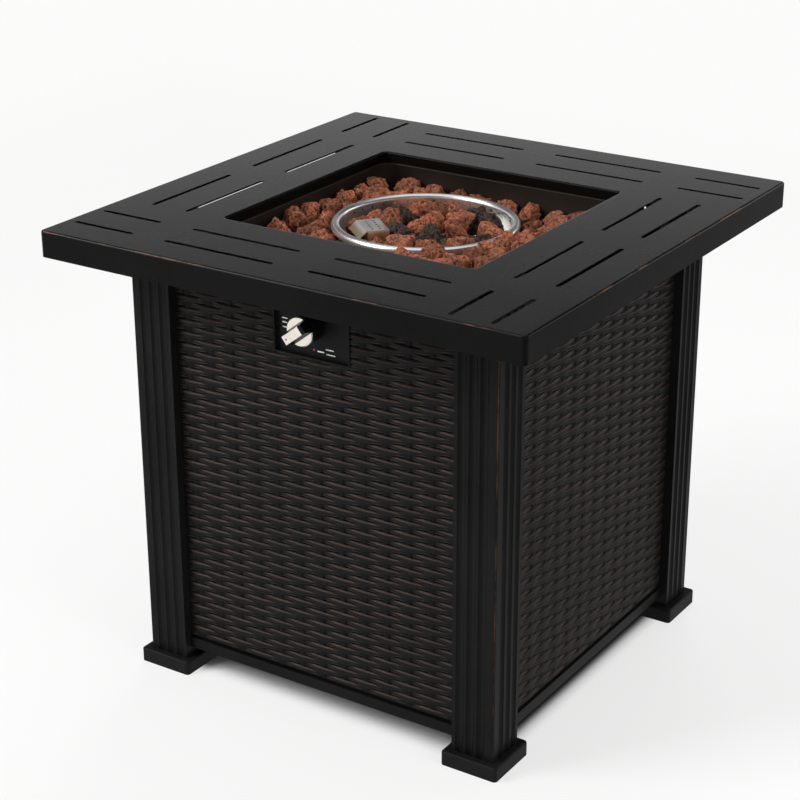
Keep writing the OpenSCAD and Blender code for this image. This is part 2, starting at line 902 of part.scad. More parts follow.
bowl_rocks = concat(
    [[0, 0, dome_top(0) - rock_r[1], rock_r[1]]],
    [for (k = [0, 1], j = [k : bowl_counts[k] - 1])
        let (
            az = igniter_angle + (j + (1 - k) / 2) * 360 / bowl_counts[k],
            s = k * bowl_total + j,
            d = bowl_rings[k]
        )
        [d * cos(az), d * sin(az), dome_top(d) + bowl_scatter[s] - bowl_sizes[s], bowl_sizes[s]]]
);

function bowl_ring(p) = norm([p[0], p[1]]) < (bowl_rings[0] + bowl_rings[1]) / 2 ? 0 : 1;

// The nearest side of the igniter shield that a rock lies clear of
function shield_limit(p) =
    let (
        u = [cos(igniter_angle), sin(igniter_angle), 0],
        v = [-u[1], u[0], 0],
        side = p * v > 0 ? 1 : -1,
        beside = abs(p * v) - shield_len / 2,
        inside = shield_in - p * u
    )
    inside > beside ? [u, shield_in - rock_gap] : [-side * v, -shield_len / 2 - rock_gap];

// The bowl's wall, the chord of its bend at the floor, the shield and, for the rocks
// beside it, the burner ring
function bowl_limits(p) =
    let (d = norm([p[0], p[1]]), wall = (bowl_in - rock_gap) * cos(180 / bowl_sides))
    concat(
        [for (s = [0 : bowl_sides - 1])
            let (az = s * 360 / bowl_sides, u = [cos(az), sin(az), 0])
            each [[u, wall], [(u - [0, 0, 1]) / sqrt(2), (wall - bowl_floor - bowl_bend_r) / sqrt(2)]]],
        [shield_limit(p)],
        bowl_ring(p) == 0 ? [] : [[[-p[0], -p[1], 0] / d, -(ring_d + ring_tube_d) / 2 - rock_gap]]
    );

module lava_rocks_bowl() {
    color("#7a4a38")
        for (i = [0 : len(bowl_rocks) - 1])
            let (p = place(bowl_rocks[i]))
            rock(bowl_rocks, i, bowl_floors[bowl_ring(p)], bowl_limits(p), rock_seed + 100 + i);
}

// Posts and feet

flute_pitch = flute_w + ridge_w;
flute_r = (pow(flute_w / 2, 2) + pow(flute_depth, 2)) / (2 * flute_depth);

// Flute centres on a face: distance from the outer corner and height above the face
module flutes(r) {
    for (i = [0 : flute_count - 1])
        translate([corner_flat + flute_w / 2 + i * flute_pitch, flute_depth - flute_r])
            circle(r);
}

// The outline of a post inset by t, with its outer corner at the origin
module post_outline(t) {
    r = post_corner_r - t;
    difference() {
        union() {
            translate([post_corner_r, t])
                square([post_w - post_corner_r - t, post_w - 2 * t]);
            translate([t, post_corner_r])
                square([post_w - 2 * t, post_w - post_corner_r - t]);
            translate([post_corner_r, post_corner_r])
                circle(r);
        }
        flutes(flute_r + t);
        mirror([1, -1])
            flutes(flute_r + t);
    }
}

module post(side) {
    color("#242322")
        turned(side)
            translate([base_half, -base_half, foot_floor])
                mirror([1, 0, 0])
                    linear_extrude(top_under - foot_floor)
                        difference() {
                            post_outline(0);
                            post_outline(post_t);
                        }
}

module post_front_right() { post(front_right); }
module post_back_right() { post(right_back); }
module post_back_left() { post(back_left); }
module post_front_left() { post(left_front); }

module foot(side) {
    mid = base_half - post_w / 2;
    straight = foot_w - 2 * foot_corner_r;
    shoulder = foot_h - foot_edge_r;
    socket = post_w + 2 * foot_clear;
    color("#2a2a2a")
        turned(side)
            translate([mid, -mid, 0])
                difference() {
                    union() {
                        linear_extrude(shoulder)
                            rounded_square(foot_w, foot_corner_r);
                        translate([-straight / 2, -straight / 2, shoulder])
                            cube([straight, straight, foot_edge_r]);
                        translate([0, 0, shoulder])
                            square_loop(foot_w / 2, foot_corner_r) {
                                square([foot_corner_r - foot_edge_r, foot_edge_r]);
                                translate([foot_corner_r - foot_edge_r, 0])
                                    intersection() {
                                        circle(foot_edge_r);
                                        square(foot_edge_r);
                                    }
                            }
                    }
                    translate([-socket / 2, -socket / 2, foot_floor])
                        cube([socket, socket, foot_h]);
                }
}

module foot_front_right() { foot(front_right); }
module foot_back_right() { foot(right_back); }
module foot_back_left() { foot(back_left); }
module foot_front_left() { foot(left_front); }

// Rails, tray and brackets

module rail(side) {
    color("#3a3938")
        turned(side)
            translate([-post_in, 0, 0])
                rotate([90, 0, 90])
                    linear_extrude(2 * post_in)
                        translate([-rail_face, rail_lift])
                            difference() {
                                square([rail_depth, rail_h]);
                                translate([rail_t, rail_t])
                                    square([rail_depth, rail_h - 2 * rail_t]);
                            }
}

module rail_front() { rail(front_right); }
module rail_right() { rail(right_back); }
module rail_back() { rail(back_left); }
module rail_left() { rail(left_front); }

module tank_tray() {
    notch = tray_half - post_in + foot_clear;
    well_r = well_d / 2;
    color("#2f2e2d") {
        translate([0, 0, rail_top])
            linear_extrude(tray_t)
                difference() {
                    square(2 * tray_half, center = true);
                    for (x = [-1, 1], y = [-1, 1])
                        translate([x * tray_half, y * tray_half])
                            square(2 * notch, center = true);
                    circle(well_r - tray_t / 2);
                }
        translate([0, 0, tray_top])
            rotate_extrude() {
                translate([well_r - tray_t, -well_depth])
                    square([tray_t, well_depth]);
                translate([drain_d / 2, -well_depth])
                    square([well_r - drain_d / 2, tray_t]);
            }
    }
}

// Three-legged clip between the top, a post and the panel on one side of it
module corner_clip() {
    height = top_under - panel_top;
    translate([post_in - bracket_wing, -panel_back, panel_top]) {
        cube([bracket_wing, bracket_t, height]);
        translate([bracket_wing - bracket_t, 0, 0])
            cube([bracket_t, bracket_shelf, height]);
        translate([0, 0, height - bracket_t])
            cube([bracket_wing, bracket_shelf, bracket_t]);
    }
}

module bracket(side) {
    color("#3a3938")
        turned(side) {
            corner_clip();
            mirror([1, 1, 0])
                corner_clip();
        }
}

module bracket_front_right() { bracket(front_right); }
module bracket_back_right() { bracket(right_back); }
module bracket_back_left() { bracket(back_left); }
module bracket_front_left() { bracket(left_front); }

// Side panels. A panel is drawn on the front side between x0 and x1.

strand_chord = strand_h - strand_gap;
strand_r = (pow(strand_chord / 2, 2) + pow(strand_relief, 2)) / (2 * strand_relief);

// Upright section of the pressed strands, from z0 upwards, standing out towards -x
module strand_section(height) {
    rows = floor(height / strand_h);
    for (i = [0 : rows - 1])
        intersection() {
            translate([strand_r - strand_relief, (i + 0.5) * strand_h])
                circle(strand_r);
            translate([-strand_relief, i * strand_h])
                square([strand_relief + panel_t / 2, strand_h]);
        }
}

module panel(x0, x1, z0, z1) {
    sheet_y = -panel_face + strand_relief;
    back_y = -panel_face + panel_depth;
    edge = panel_depth - strand_relief;
    translate([x0, sheet_y, z0])
        cube([x1 - x0, panel_t, z1 - z0]);
    translate([x0 + panel_border, sheet_y, z0 + panel_border])
        rotate([90, 0, 90])
            linear_extrude(x1 - x0 - 2 * panel_border)
                strand_section(z1 - z0 - 2 * panel_border);
    difference() {
        translate([x0, sheet_y, z0])
            cube([x1 - x0, edge, z1 - z0]);
        translate([x0 + panel_t, sheet_y - cut, z0 + panel_t])
            cube([x1 - x0 - 2 * panel_t, edge + 2 * cut, z1 - z0 - 2 * panel_t]);
    }
}

module side_panel(side) {
    turned(side)
        panel(-post_in, post_in, panel_bottom, panel_top);
}

module front_panel() {
    color("#3b332e")
        difference() {
            side_panel(front_right);
            translate([-pocket_w / 2, -panel_face - cut, knob_z - pocket_h / 2])
                cube([pocket_w, strand_relief + panel_t + 2 * cut, pocket_h]);
        }
}

module right_panel() {
    color("#3b332e")
        side_panel(right_back);
}

module left_panel() {
    color("#3b332e")
        side_panel(left_front);
}

// Tank door, drawn on the front side and turned to the back. Its hinges are at +x.

door_half = post_in - door_gap;
hinge_x = post_in - hinge_in;
hinge_y = panel_face + knuckle_clear + knuckle_d / 2;
knuckle_h = (hinge_h - 2 * knuckle_gap) / 3;
lower_hinge_z = panel_bottom + hinge_inset;
upper_hinge_z = door_top - hinge_inset;
hinge_axis = [hinge_x, -hinge_y];
strike_y = panel_face - panel_depth;
catch_z = (panel_bottom + door_top) / 2;

module access_door() {
    color("#3b332e")
        turned(back_left)
            panel(-door_half, door_half, panel_bottom, door_top);
}

module door_pull() {
    neck = pull_len / 2;
    rim = pull_len / 7;
    color("#1f1f1f")
        turned(back_left)
            translate([-door_half + pull_inset, -panel_face, catch_z])
                rotate([90, 0, 0])
                    rotate_extrude() {
                        square([pull_d / 4, neck]);
                        translate([0, neck])
                            square([pull_d / 2 - rim, pull_len - neck]);
                        translate([0, neck + rim])
                            square([pull_d / 2, pull_len - neck - 2 * rim]);
                        for (y = [neck + rim, pull_len - rim])
                            translate([pull_d / 2 - rim, y])
                                circle(rim);
                    }
}

module knuckle(z, bore) {
    translate([hinge_axis[0], hinge_axis[1], z])
        difference() {
            cylinder(d = knuckle_d, h = knuckle_h);
            translate([0, 0, -cut])
                cylinder(d = bore, h = knuckle_h + 2 * cut);
        }
}

module door_leaf(mid_z) {
    z0 = mid_z - knuckle_h / 2;
    bore = pin_d + 2 * run_clear;
    color("#8d8c88")
        turned(back_left) {
            knuckle(z0, bore);
            difference() {
                translate([hinge_x - leaf_len, -panel_face - leaf_t, z0])
                    cube([leaf_len, leaf_t, knuckle_h]);
                translate([hinge_axis[0], hinge_axis[1], z0 - cut])
                    cylinder(d = (knuckle_d + pin_d) / 2, h = knuckle_h + 2 * cut);
            }
        }
}

module door_leaf_upper() { door_leaf(upper_hinge_z); }
module door_leaf_lower() { door_leaf(lower_hinge_z); }

module hinge_leaf(mid_z) {
    z0 = mid_z - hinge_h / 2;
    bore = pin_d + 2 * pin_press;
    color("#8d8c88")
        turned(back_left) {
            for (z = [z0, z0 + hinge_h - knuckle_h])
                knuckle(z, bore);
            difference() {
                translate([post_in - leaf_t, -hinge_y, z0])
                    cube([leaf_t, leaf_len, hinge_h]);
                translate([hinge_axis[0], hinge_axis[1], z0 - cut])
                    cylinder(d = (knuckle_d + pin_d) / 2, h = hinge_h + 2 * cut);
                translate([hinge_axis[0], hinge_axis[1], mid_z - knuckle_h / 2 - knuckle_gap])
                    cylinder(d = knuckle_d + 2 * knuckle_gap, h = knuckle_h + 2 * knuckle_gap);
            }
        }
}

module hinge_leaf_upper() { hinge_leaf(upper_hinge_z); }
module hinge_leaf_lower() { hinge_leaf(lower_hinge_z); }

module hinge_pin(mid_z) {
    color("#a5a4a0")
        turned(back_left)
            translate([hinge_axis[0], hinge_axis[1], mid_z - hinge_h / 2]) {
                cylinder(d = pin_d, h = hinge_h);
                translate([0, 0, hinge_h])
                    cylinder(d = pin_head[0], h = pin_head[1]);
            }
}

module hinge_pin_upper() { hinge_pin(upper_hinge_z); }
module hinge_pin_lower() { hinge_pin(lower_hinge_z); }

module door_magnet() {
    color("#202020")
        turned(back_left)
            translate([-post_in, -strike_y + catch_gap, catch_z - magnet[2] / 2])
                cube(magnet);
}

module door_strike() {
    color("#a5a4a0")
        turned(back_left)
            translate([-door_half + panel_t, -strike_y - strike_t, catch_z - magnet[2] / 2])
                cube([magnet[0] - door_gap - panel_t, strike_t, magnet[2]]);
}

// Controls

module pocket_box(w, h, y0, y1) {
    translate([-w / 2, -y0, knob_z - h / 2])
        cube([w, y0 - y1, h]);
}

module control_plate() {
    w = pocket_w - 2 * pocket_clear;
    h = pocket_h - 2 * pocket_clear;
    flange_z = knob_z - h / 2 - pocket_flange;
    color("#1a1a1a")
        difference() {
            union() {
                pocket_box(w, h, panel_face, plate_back);
                translate([-w / 2 - pocket_flange, -panel_back, flange_z])
                    cube([w + 2 * pocket_flange, plate_t, panel_top - panel_t - pocket_clear - flange_z]);
            }
            pocket_box(w - 2 * plate_t, h - 2 * plate_t, panel_face + cut, plate_face);
            translate([0, 0, knob_z])
                rod_y(2 * stem_d, -panel_face, -plate_back + cut);
        }
}

// A round stem with a flat, along Y, turned with the knob
module stem_shape(grow, y0, y1) {
    translate([0, 0, knob_z])
        rotate([0, -knob_angle, 0])
            difference() {
                rod_y(stem_d + 2 * grow, y0, y1);
                translate([stem_flat + grow, y0 - cut, -stem_d])
                    cube([stem_d, y1 - y0 + 2 * cut, 2 * stem_d]);
            }
}

knob_front = knob_back + knob_len;
stem_y0 = -knob_back - stem_seat;
plug_y0 = -plate_back + plug_play;
plug_y1 = plug_y0 + plug_len;
stem_y1 = plug_y1 - knob_push - knob_gap;

module control_knob() {
    foot_len = knob_d / 2;
    color("#d8d8d8")
        difference() {
            translate([0, 0, knob_z]) {
                translate([0, -knob_back, 0])
                    rotate([90, 0, 0])
                        rotate_extrude()
                            polygon([
                                [0, 0], [knob_d / 2, 0], [knob_d / 2, knob_len - knob_chamfer],
                                [knob_d / 2 - knob_chamfer, knob_len], [0, knob_len]
                            ]);
                intersection() {
                    rotate([0, -knob_angle, 0])
                        translate([0, -knob_front, -grip_w / 2])
                            linear_extrude(grip_w)
                                polygon([
                                    [-foot_len, 0], [-grip_len / 2, -grip_h],
                                    [grip_len / 2, -grip_h], [foot_len, 0]
                                ]);
                    rod_y(knob_d - 2 * knob_chamfer, -knob_front - grip_h, -knob_front);
                }
            }
            stem_shape(stem_fit, stem_y0, -knob_back + cut);
        }
}

module valve_stem() {
    color("#b4b3b0")
        stem_shape(0, stem_y0, stem_y1);
}

module valve_plug() {
    color("#c7a24d")
        difference() {
            translate([0, 0, knob_z])
                rod_y(plug_d, plug_y0, plug_y1);
            stem_shape(run_clear, plug_y0 - cut, plug_y1 + cut);
        }
}

valve_y0 = -plate_back;
valve_y1 = valve_y0 + valve_len;
inlet_y = (valve_y0 + valve_y1) / 2;
inlet_z = knob_z - valve_d / 2 - hex_len / 2;

module valve_body() {
    color("#b98f3f")
        difference() {
            translate([0, 0, knob_z]) {
                rod_y(valve_d, valve_y0, valve_y1);
                rod_y(boss_d, valve_y1, valve_y1 + outlet_len);
                translate([0, inlet_y, inlet_z - knob_z])
                    cylinder(d = boss_d, h = valve_d / 2);
                translate([-valve_d, valve_y0, -valve_d / 4])
                    cube([2 * valve_d, plate_t * 2, valve_d / 2]);
            }
            translate([0, 0, knob_z]) {
                rod_y(plug_d + 2 * run_clear, valve_y0 - cut, plug_y1 + plug_play);
                rod_y(stem_d + 2 * knob_gap, plug_y1, plug_y1 + plug_play + knob_push);
            }
        }
}

module valve_inlet() {
    color("#c7a24d")
        translate([0, inlet_y, inlet_z - hex_len])
            difference() {
                union() {
                    cylinder(d = hex_d, h = hex_len, $fn = 6);
                    translate([0, 0, -nipple_len])
                        cylinder(d = nipple_d, h = nipple_len);
                }
                translate([0, 0, -nipple_len - cut])
                    cylinder(d = nipple_bore, h = nipple_len + hex_len);
            }
}

tabletop();
burner_pan();
burner_bowl();
burner_ring();
burner_stub();
burner_locknut();
burner_elbow();
air_mixer();
gas_jet();
gas_tube();
igniter_shield();
igniter_bracket();
ignition_electrode();
thermocouple();
lava_rocks_pan();
lava_rocks_bowl();
post_front_right();
post_back_right();
post_back_left();
post_front_left();
foot_front_right();
foot_back_right();
foot_back_left();
foot_front_left();
rail_front();
rail_right();
rail_back();
rail_left();
front_panel();
right_panel();
left_panel();
bracket_front_right();
bracket_back_right();
bracket_back_left();
bracket_front_left();
tank_tray();
access_door();
door_pull();
door_leaf_upper();
door_leaf_lower();
hinge_leaf_upper();
hinge_leaf_lower();
hinge_pin_upper();
hinge_pin_lower();
door_magnet();
door_strike();
control_plate();
control_knob();
valve_stem();
valve_plug();
valve_body();
valve_inlet();
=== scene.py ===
import math
import random

import bmesh
import bpy
from mathutils import Matrix, Vector, noise


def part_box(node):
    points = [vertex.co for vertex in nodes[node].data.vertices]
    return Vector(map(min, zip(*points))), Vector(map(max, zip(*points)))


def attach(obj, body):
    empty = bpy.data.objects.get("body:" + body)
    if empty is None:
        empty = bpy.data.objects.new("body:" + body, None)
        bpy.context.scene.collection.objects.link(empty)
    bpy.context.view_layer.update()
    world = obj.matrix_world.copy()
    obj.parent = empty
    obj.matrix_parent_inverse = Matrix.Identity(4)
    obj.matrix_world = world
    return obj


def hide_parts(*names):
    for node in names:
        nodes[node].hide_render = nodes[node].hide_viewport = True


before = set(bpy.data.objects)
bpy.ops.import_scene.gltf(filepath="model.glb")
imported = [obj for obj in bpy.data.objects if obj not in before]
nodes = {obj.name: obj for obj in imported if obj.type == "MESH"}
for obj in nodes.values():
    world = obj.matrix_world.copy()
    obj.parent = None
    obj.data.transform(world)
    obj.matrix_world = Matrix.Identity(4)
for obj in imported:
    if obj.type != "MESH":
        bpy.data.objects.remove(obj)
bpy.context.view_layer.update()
scene = bpy.context.scene
scene.view_settings.view_transform = "Standard"
print("frame loaded:", len(nodes), "nodes")


# shader helpers

def plug(tree, socket, value):
    if isinstance(value, bpy.types.NodeSocket):
        tree.links.new(value, socket)
    else:
        socket.default_value = value


def add(tree, kind, sockets=None, **settings):
    made = tree.nodes.new("ShaderNode" + kind)
    for key, value in settings.items():
        setattr(made, key, value)
    for key, value in (sockets or {}).items():
        plug(tree, made.inputs[key], value)
    return made


def calc(tree, operation, *values, clamp=False):
    made = add(tree, "Math", dict(enumerate(values)), operation=operation, use_clamp=clamp)
    return made.outputs[0]


def times(tree, first, second):
    return calc(tree, "MULTIPLY", first, second)


def distance(tree, first, second):
    return calc(tree, "SQRT", calc(tree, "ADD", times(tree, first, first), times(tree, second, second)))


def ramp(tree, value, low, high, outLow=0.0, outHigh=1.0):
    levels = {"Value": value, "From Min": low, "From Max": high, "To Min": outLow, "To Max": outHigh}
    return add(tree, "MapRange", levels, interpolation_type="SMOOTHSTEP").outputs["Result"]


def noiseValue(tree, place, scale, detail, roughness=0.5):
    settings = {"Vector": place, "Scale": scale, "Detail": detail, "Roughness": roughness}
    return add(tree, "TexNoise", settings).outputs[0]


# Mix has one set of sockets for each kind of data, so its colour sockets are found by place
def mixTone(tree, factor, first, second):
    made = add(tree, "Mix", {0: factor}, data_type="RGBA")
    for spot, colour in ((6, first), (7, second)):
        plug(tree, made.inputs[spot], (*colour, 1.0) if isinstance(colour, tuple) else colour)
    return made.outputs[2]


def scaled(colour, share):
    return tuple(c * share for c in colour)


def objectPlace(tree):
    return add(tree, "TexCoord").outputs["Object"]


def axes(tree):
    split = add(tree, "SeparateXYZ", {0: objectPlace(tree)})
    return split.outputs[0], split.outputs[1], split.outputs[2]


def newGroup(name, inputs, outputs):
    tree = bpy.data.node_groups.new(name, "ShaderNodeTree")
    for label, value in inputs.items():
        socket = tree.interface.new_socket(label, in_out="INPUT", socket_type="NodeSocketFloat")
        socket.default_value = value
    for label in outputs:
        tree.interface.new_socket(label, in_out="OUTPUT", socket_type="NodeSocketFloat")
    return tree, tree.nodes.new("NodeGroupInput").outputs, tree.nodes.new("NodeGroupOutput").inputs


def useGroup(tree, group, values=None):
    return add(tree, "Group", values, node_tree=group).outputs


# fine orange peel and slow cloudiness of a powder coat
def makeCoatGroup():
    tree, given, out = newGroup("powderCoat", {"Fine": 900.0, "Slow": 7.0}, ("Cloud", "Grain"))
    place = objectPlace(tree)
    tree.links.new(noiseValue(tree, place, given["Slow"], 4.0, 0.6), out["Cloud"])
    tree.links.new(noiseValue(tree, place, given["Fine"], 2.0), out["Grain"])
    return tree


# where an edge is rubbed through to copper in places, from the distance to that edge
def makeRubGroup():
    tree, given, out = newGroup("rubbedEdge", {"Distance": 1.0, "Width": 0.002, "Least": 0.15}, ("Mask",))
    patches = noiseValue(tree, objectPlace(tree), 21.0, 5.0, 0.65)
    reach = times(tree, given["Width"], ramp(tree, patches, 0.40, 0.66, given["Least"], 1.0))
    far = calc(tree, "DIVIDE", given["Distance"], reach)
    tree.links.new(ramp(tree, far, 0.35, 1.0, 1.0, 0.0), out["Mask"])
    return tree


# distance from a point of a section to a corner of it
def makeCornerGroup():
    inputs = {"First": 0.0, "Second": 0.0, "Corner first": 0.0, "Corner second": 0.0}
    tree, given, out = newGroup("cornerDistance", inputs, ("Distance",))
    one = calc(tree, "SUBTRACT", given["First"], given["Corner first"])
    two = calc(tree, "SUBTRACT", given["Second"], given["Corner second"])
    tree.links.new(distance(tree, one, two), out["Distance"])
    return tree


coatGroup = makeCoatGroup()
rubGroup = makeRubGroup()
cornerGroup = makeCornerGroup()


# a level, or a tone, that wanders with the slow clouds of a coat
def cloudLevel(tree, coat, low=0.0, high=1.0):
    return ramp(tree, coat["Cloud"], 0.3, 0.7, low, high)


def cloudTone(tree, coat, darker, lighter):
    return mixTone(tree, cloudLevel(tree, coat), darker, lighter)


def feed(tree, shader, sockets):
    for label, value in sockets.items():
        plug(tree, shader.inputs[label], value)


def newMaterial(name, constants):
    material = bpy.data.materials.new(name)
    material.use_nodes = True
    tree = material.node_tree
    shader = tree.nodes["Principled BSDF"]
    feed(tree, shader, constants)
    return material, tree, shader


def bump(tree, shader, height, strength, depth):
    made = add(tree, "Bump", {"Height": height, "Strength": strength, "Distance": depth})
    feed(tree, shader, {"Normal": made.outputs[0]})


def dress(nodeNames, material):
    for name in nodeNames:
        nodes[name].data.materials.clear()
        nodes[name].data.materials.append(material)


# mesh helpers

def finishPiece(mesh, name, material, body, smooth=True, replaced=()):
    data = bpy.data.meshes.new(name)
    mesh.to_mesh(data)
    mesh.free()
    piece = bpy.data.objects.new(name, data)
    scene.collection.objects.link(piece)
    data.materials.append(material)
    if smooth:
        data.shade_smooth()
    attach(piece, body)
    if replaced:
        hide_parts(*replaced)


def turn(mesh, verts, degrees, axis):
    bmesh.ops.rotate(mesh, verts=verts, matrix=Matrix.Rotation(math.radians(degrees), 3, axis))


def slicePlane(mesh, place, normal):
    everything = mesh.verts[:] + mesh.edges[:] + mesh.faces[:]
    bmesh.ops.bisect_plane(mesh, geom=everything, dist=1e-6, plane_co=place, plane_no=normal)


def vertsOf(made):
    return [g for g in made["geom"] if isinstance(g, bmesh.types.BMVert)]


# a disc that faces the front, at a point of the front
def frontDisc(radius, segments, spot):
    mesh = bmesh.new()
    bmesh.ops.create_circle(mesh, cap_ends=True, segments=segments, radius=radius)
    turn(mesh, mesh.verts, 90, "X")
    bmesh.ops.translate(mesh, verts=mesh.verts, vec=spot)
    return mesh


# powder coats

coats = {
    "charcoal": (0.0033, 0.0032, 0.0031),
    "satinBlack": (0.0074, 0.0073, 0.0072),
    "railGrey": (0.0060, 0.0060, 0.0059),
    "plateBlack": (0.0105, 0.0105, 0.0105),
    "copper": (0.105, 0.044, 0.024),
    # painted shade of the opening's lip
    "lip": (0.0016, 0.0012, 0.0009),
    "lipRoughness": 0.8,
    "specular": 0.058,
    "glossRoughness": 0.21,  # of the polished upper face
    "glossIor": 1.25,
}


def coatMaterial(name, colour, roughness, rub=None, shade=None, gloss=None):
    material, tree, shader = newMaterial(name, {
        "Specular IOR Level": coats["specular"],
        "Coat Roughness": coats["glossRoughness"],
        "Coat IOR": coats["glossIor"],
    })
    coat = useGroup(tree, coatGroup)
    tone = cloudTone(tree, coat, scaled(colour, 0.82), scaled(colour, 1.2))
    rough = cloudLevel(tree, coat, roughness - 0.04, roughness + 0.04)
    if rub:
        reach = {"Distance": rub["edges"](tree), "Width": rub["width"], "Least": rub["least"]}
        mask = useGroup(tree, rubGroup, reach)["Mask"]
        tone = mixTone(tree, times(tree, mask, rub["share"]), tone, coats["copper"])
    if gloss:
        feed(tree, shader, {"Coat Weight": gloss(tree)})
    if shade:
        # painted shade on the lip, which also gets a rougher coat
        inside = shade(tree)
        tone = mixTone(tree, inside, tone, coats["lip"])
        rough = calc(tree, "MAXIMUM", rough, times(tree, inside, coats["lipRoughness"]))
    feed(tree, shader, {"Base Color": tone, "Roughness": rough})
    bump(tree, shader, coat["Grain"], 0.2, 0.0002)
    return material


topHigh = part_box("tabletop")[1]
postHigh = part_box("post_front_right")[1]


def squarePlace(tree):
    x, y, z = axes(tree)
    return calc(tree, "ABSOLUTE", x), calc(tree, "ABSOLUTE", y), z


def corner(tree, first, second, cornerFirst, cornerSecond):
    spots = {"First": first, "Second": second, "Corner first": cornerFirst, "Corner second": cornerSecond}
    return useGroup(tree, cornerGroup, spots)["Distance"]


def topEdges(tree):
    across, along, z = squarePlace(tree)
    out = calc(tree, "MAXIMUM", across, along)
    rim = corner(tree, out, z, topHigh.x, topHigh.z)
    upright = corner(tree, across, along, topHigh.x, topHigh.x)
    return calc(tree, "MINIMUM", rim, upright)


def postEdges(tree):
    across, along = squarePlace(tree)[:2]
    return corner(tree, across, along, postHigh.x, postHigh.x)


topRub = {"edges": topEdges, "width": 0.0024, "least": 0.15, "share": 1.0}
postRub = {"edges": postEdges, "width": 0.0022, "least": 0.6, "share": 0.9}
topFinish = {
    "lipFrom": (0.0022, 0.0008),     # depth under the upper face over which the lip turns dull and takes its painted shade
    "lipTo": (0.1912, 0.1922),       # and the distance from the middle over which it ends
    "glossFrom": (0.0016, 0.0004),   # depth over which the polish of the upper face begins
}


# the turned-down lip of the opening, darkened with painted shade and given a duller coat
def lipShade(tree):
    across, along, z = squarePlace(tree)
    out = calc(tree, "MAXIMUM", across, along)
    deep, shallow = topFinish["lipFrom"]
    low = ramp(tree, z, topHigh.z - deep, topHigh.z - shallow, 1.0, 0.0)
    return times(tree, low, ramp(tree, out, *topFinish["lipTo"], 1.0, 0.0))


def topGloss(tree):
    deep, shallow = topFinish["glossFrom"]
    return ramp(tree, axes(tree)[2], topHigh.z - deep, topHigh.z - shallow)


topCoat = coatMaterial("charcoalCoat", coats["charcoal"], 0.27, topRub, lipShade, topGloss)
postCoat = coatMaterial("satinBlackCoat", coats["satinBlack"], 0.36, postRub)
railCoat = coatMaterial("railCoat", coats["railGrey"], 0.42)
plateCoat = coatMaterial("plateCoat", coats["plateBlack"], 0.4)

corners = ("front_right", "back_right", "back_left", "front_left")
dress(["tabletop"], topCoat)
dress(["post_" + c for c in corners], postCoat)
dress(["rail_" + s for s in ("front", "right", "back", "left")], railCoat)
dress(["bracket_" + c for c in corners] + ["tank_tray"], railCoat)
dress(["control_plate"], plateCoat)
print("coats done")


# moulded plastic of the feet, the pull and the catch

def plasticMaterial(name, colour, roughness):
    material, tree, shader = newMaterial(name, {"Specular IOR Level": 0.07})
    coat = useGroup(tree, coatGroup, {"Fine": 1500.0, "Slow": 12.0})
    tone = cloudTone(tree, coat, scaled(colour, 0.85), scaled(colour, 1.2))
    rough = cloudLevel(tree, coat, roughness - 0.06, roughness + 0.06)
    feed(tree, shader, {"Base Color": tone, "Roughness": rough})
    bump(tree, shader, coat["Grain"], 0.4, 0.0002)
    return material


footPlastic = plasticMaterial("footPlastic", (0.0078, 0.0078, 0.0078), 0.5)
blackPlastic = plasticMaterial("blackPlastic", (0.005, 0.005, 0.005), 0.3)
dress(["foot_" + c for c in corners], footPlastic)
dress(["door_pull", "door_magnet"], blackPlastic)


# plain metals

def metalMaterial(name, colour, roughness, coords, scale):
    material, tree, shader = newMaterial(name, {"Metallic": 1.0})
    lines = noiseValue(tree, coords(tree), scale, 3.0, 0.6)
    tone = mixTone(tree, ramp(tree, lines, 0.3, 0.7), scaled(colour, 0.86), colour)
    rough = ramp(tree, lines, 0.3, 0.7, roughness * 0.75, roughness * 1.25)
    feed(tree, shader, {"Base Color": tone, "Roughness": rough})
    bump(tree, shader, lines, 0.2, 0.00005)
    return material


def roundTheAxis(tree):
    x, y, z = axes(tree)
    return add(tree, "CombineXYZ", {0: distance(tree, x, y), 1: 0.0, 2: z}).outputs[0]


stainless = metalMaterial("stainless", (0.96, 0.95, 0.93), 0.34, roundTheAxis, 1500.0)
burnerSteel = metalMaterial("burnerSteel", (0.62, 0.6, 0.57), 0.32, objectPlace, 350.0)
brass = metalMaterial("brass", (0.72, 0.5, 0.2), 0.28, objectPlace, 420.0)
zincSteel = metalMaterial("zincSteel", (0.56, 0.56, 0.54), 0.36, objectPlace, 260.0)
tubeAluminium = metalMaterial("tubeAluminium", (0.78, 0.79, 0.8), 0.3, objectPlace, 300.0)
copperSheath = metalMaterial("copperSheath", (0.62, 0.32, 0.18), 0.35, objectPlace, 300.0)
dress(["burner_bowl"], stainless)
dress(["burner_ring", "air_mixer", "igniter_bracket", "valve_stem"], burnerSteel)
dress(["burner_stub", "burner_locknut", "burner_elbow", "gas_jet"], brass)
dress(["valve_plug", "valve_body", "valve_inlet"], brass)
for end in ("_upper", "_lower"):
    dress(["door_leaf" + end, "hinge_leaf" + end, "hinge_pin" + end], zincSteel)
dress(["door_strike"], zincSteel)
dress(["gas_tube"], tubeAluminium)
dress(["thermocouple"], copperSheath)


# shield of the igniter, tinted straw by heat below its bend

shieldSteel = {
    "dull": (0.86, 0.84, 0.80),
    "bright": (0.94, 0.92, 0.88),
    "straw": (0.58, 0.40, 0.18),
    "strawShare": 0.8,
    "bend": (0.6085, 0.6128),        # heights between which the tint fades out
}


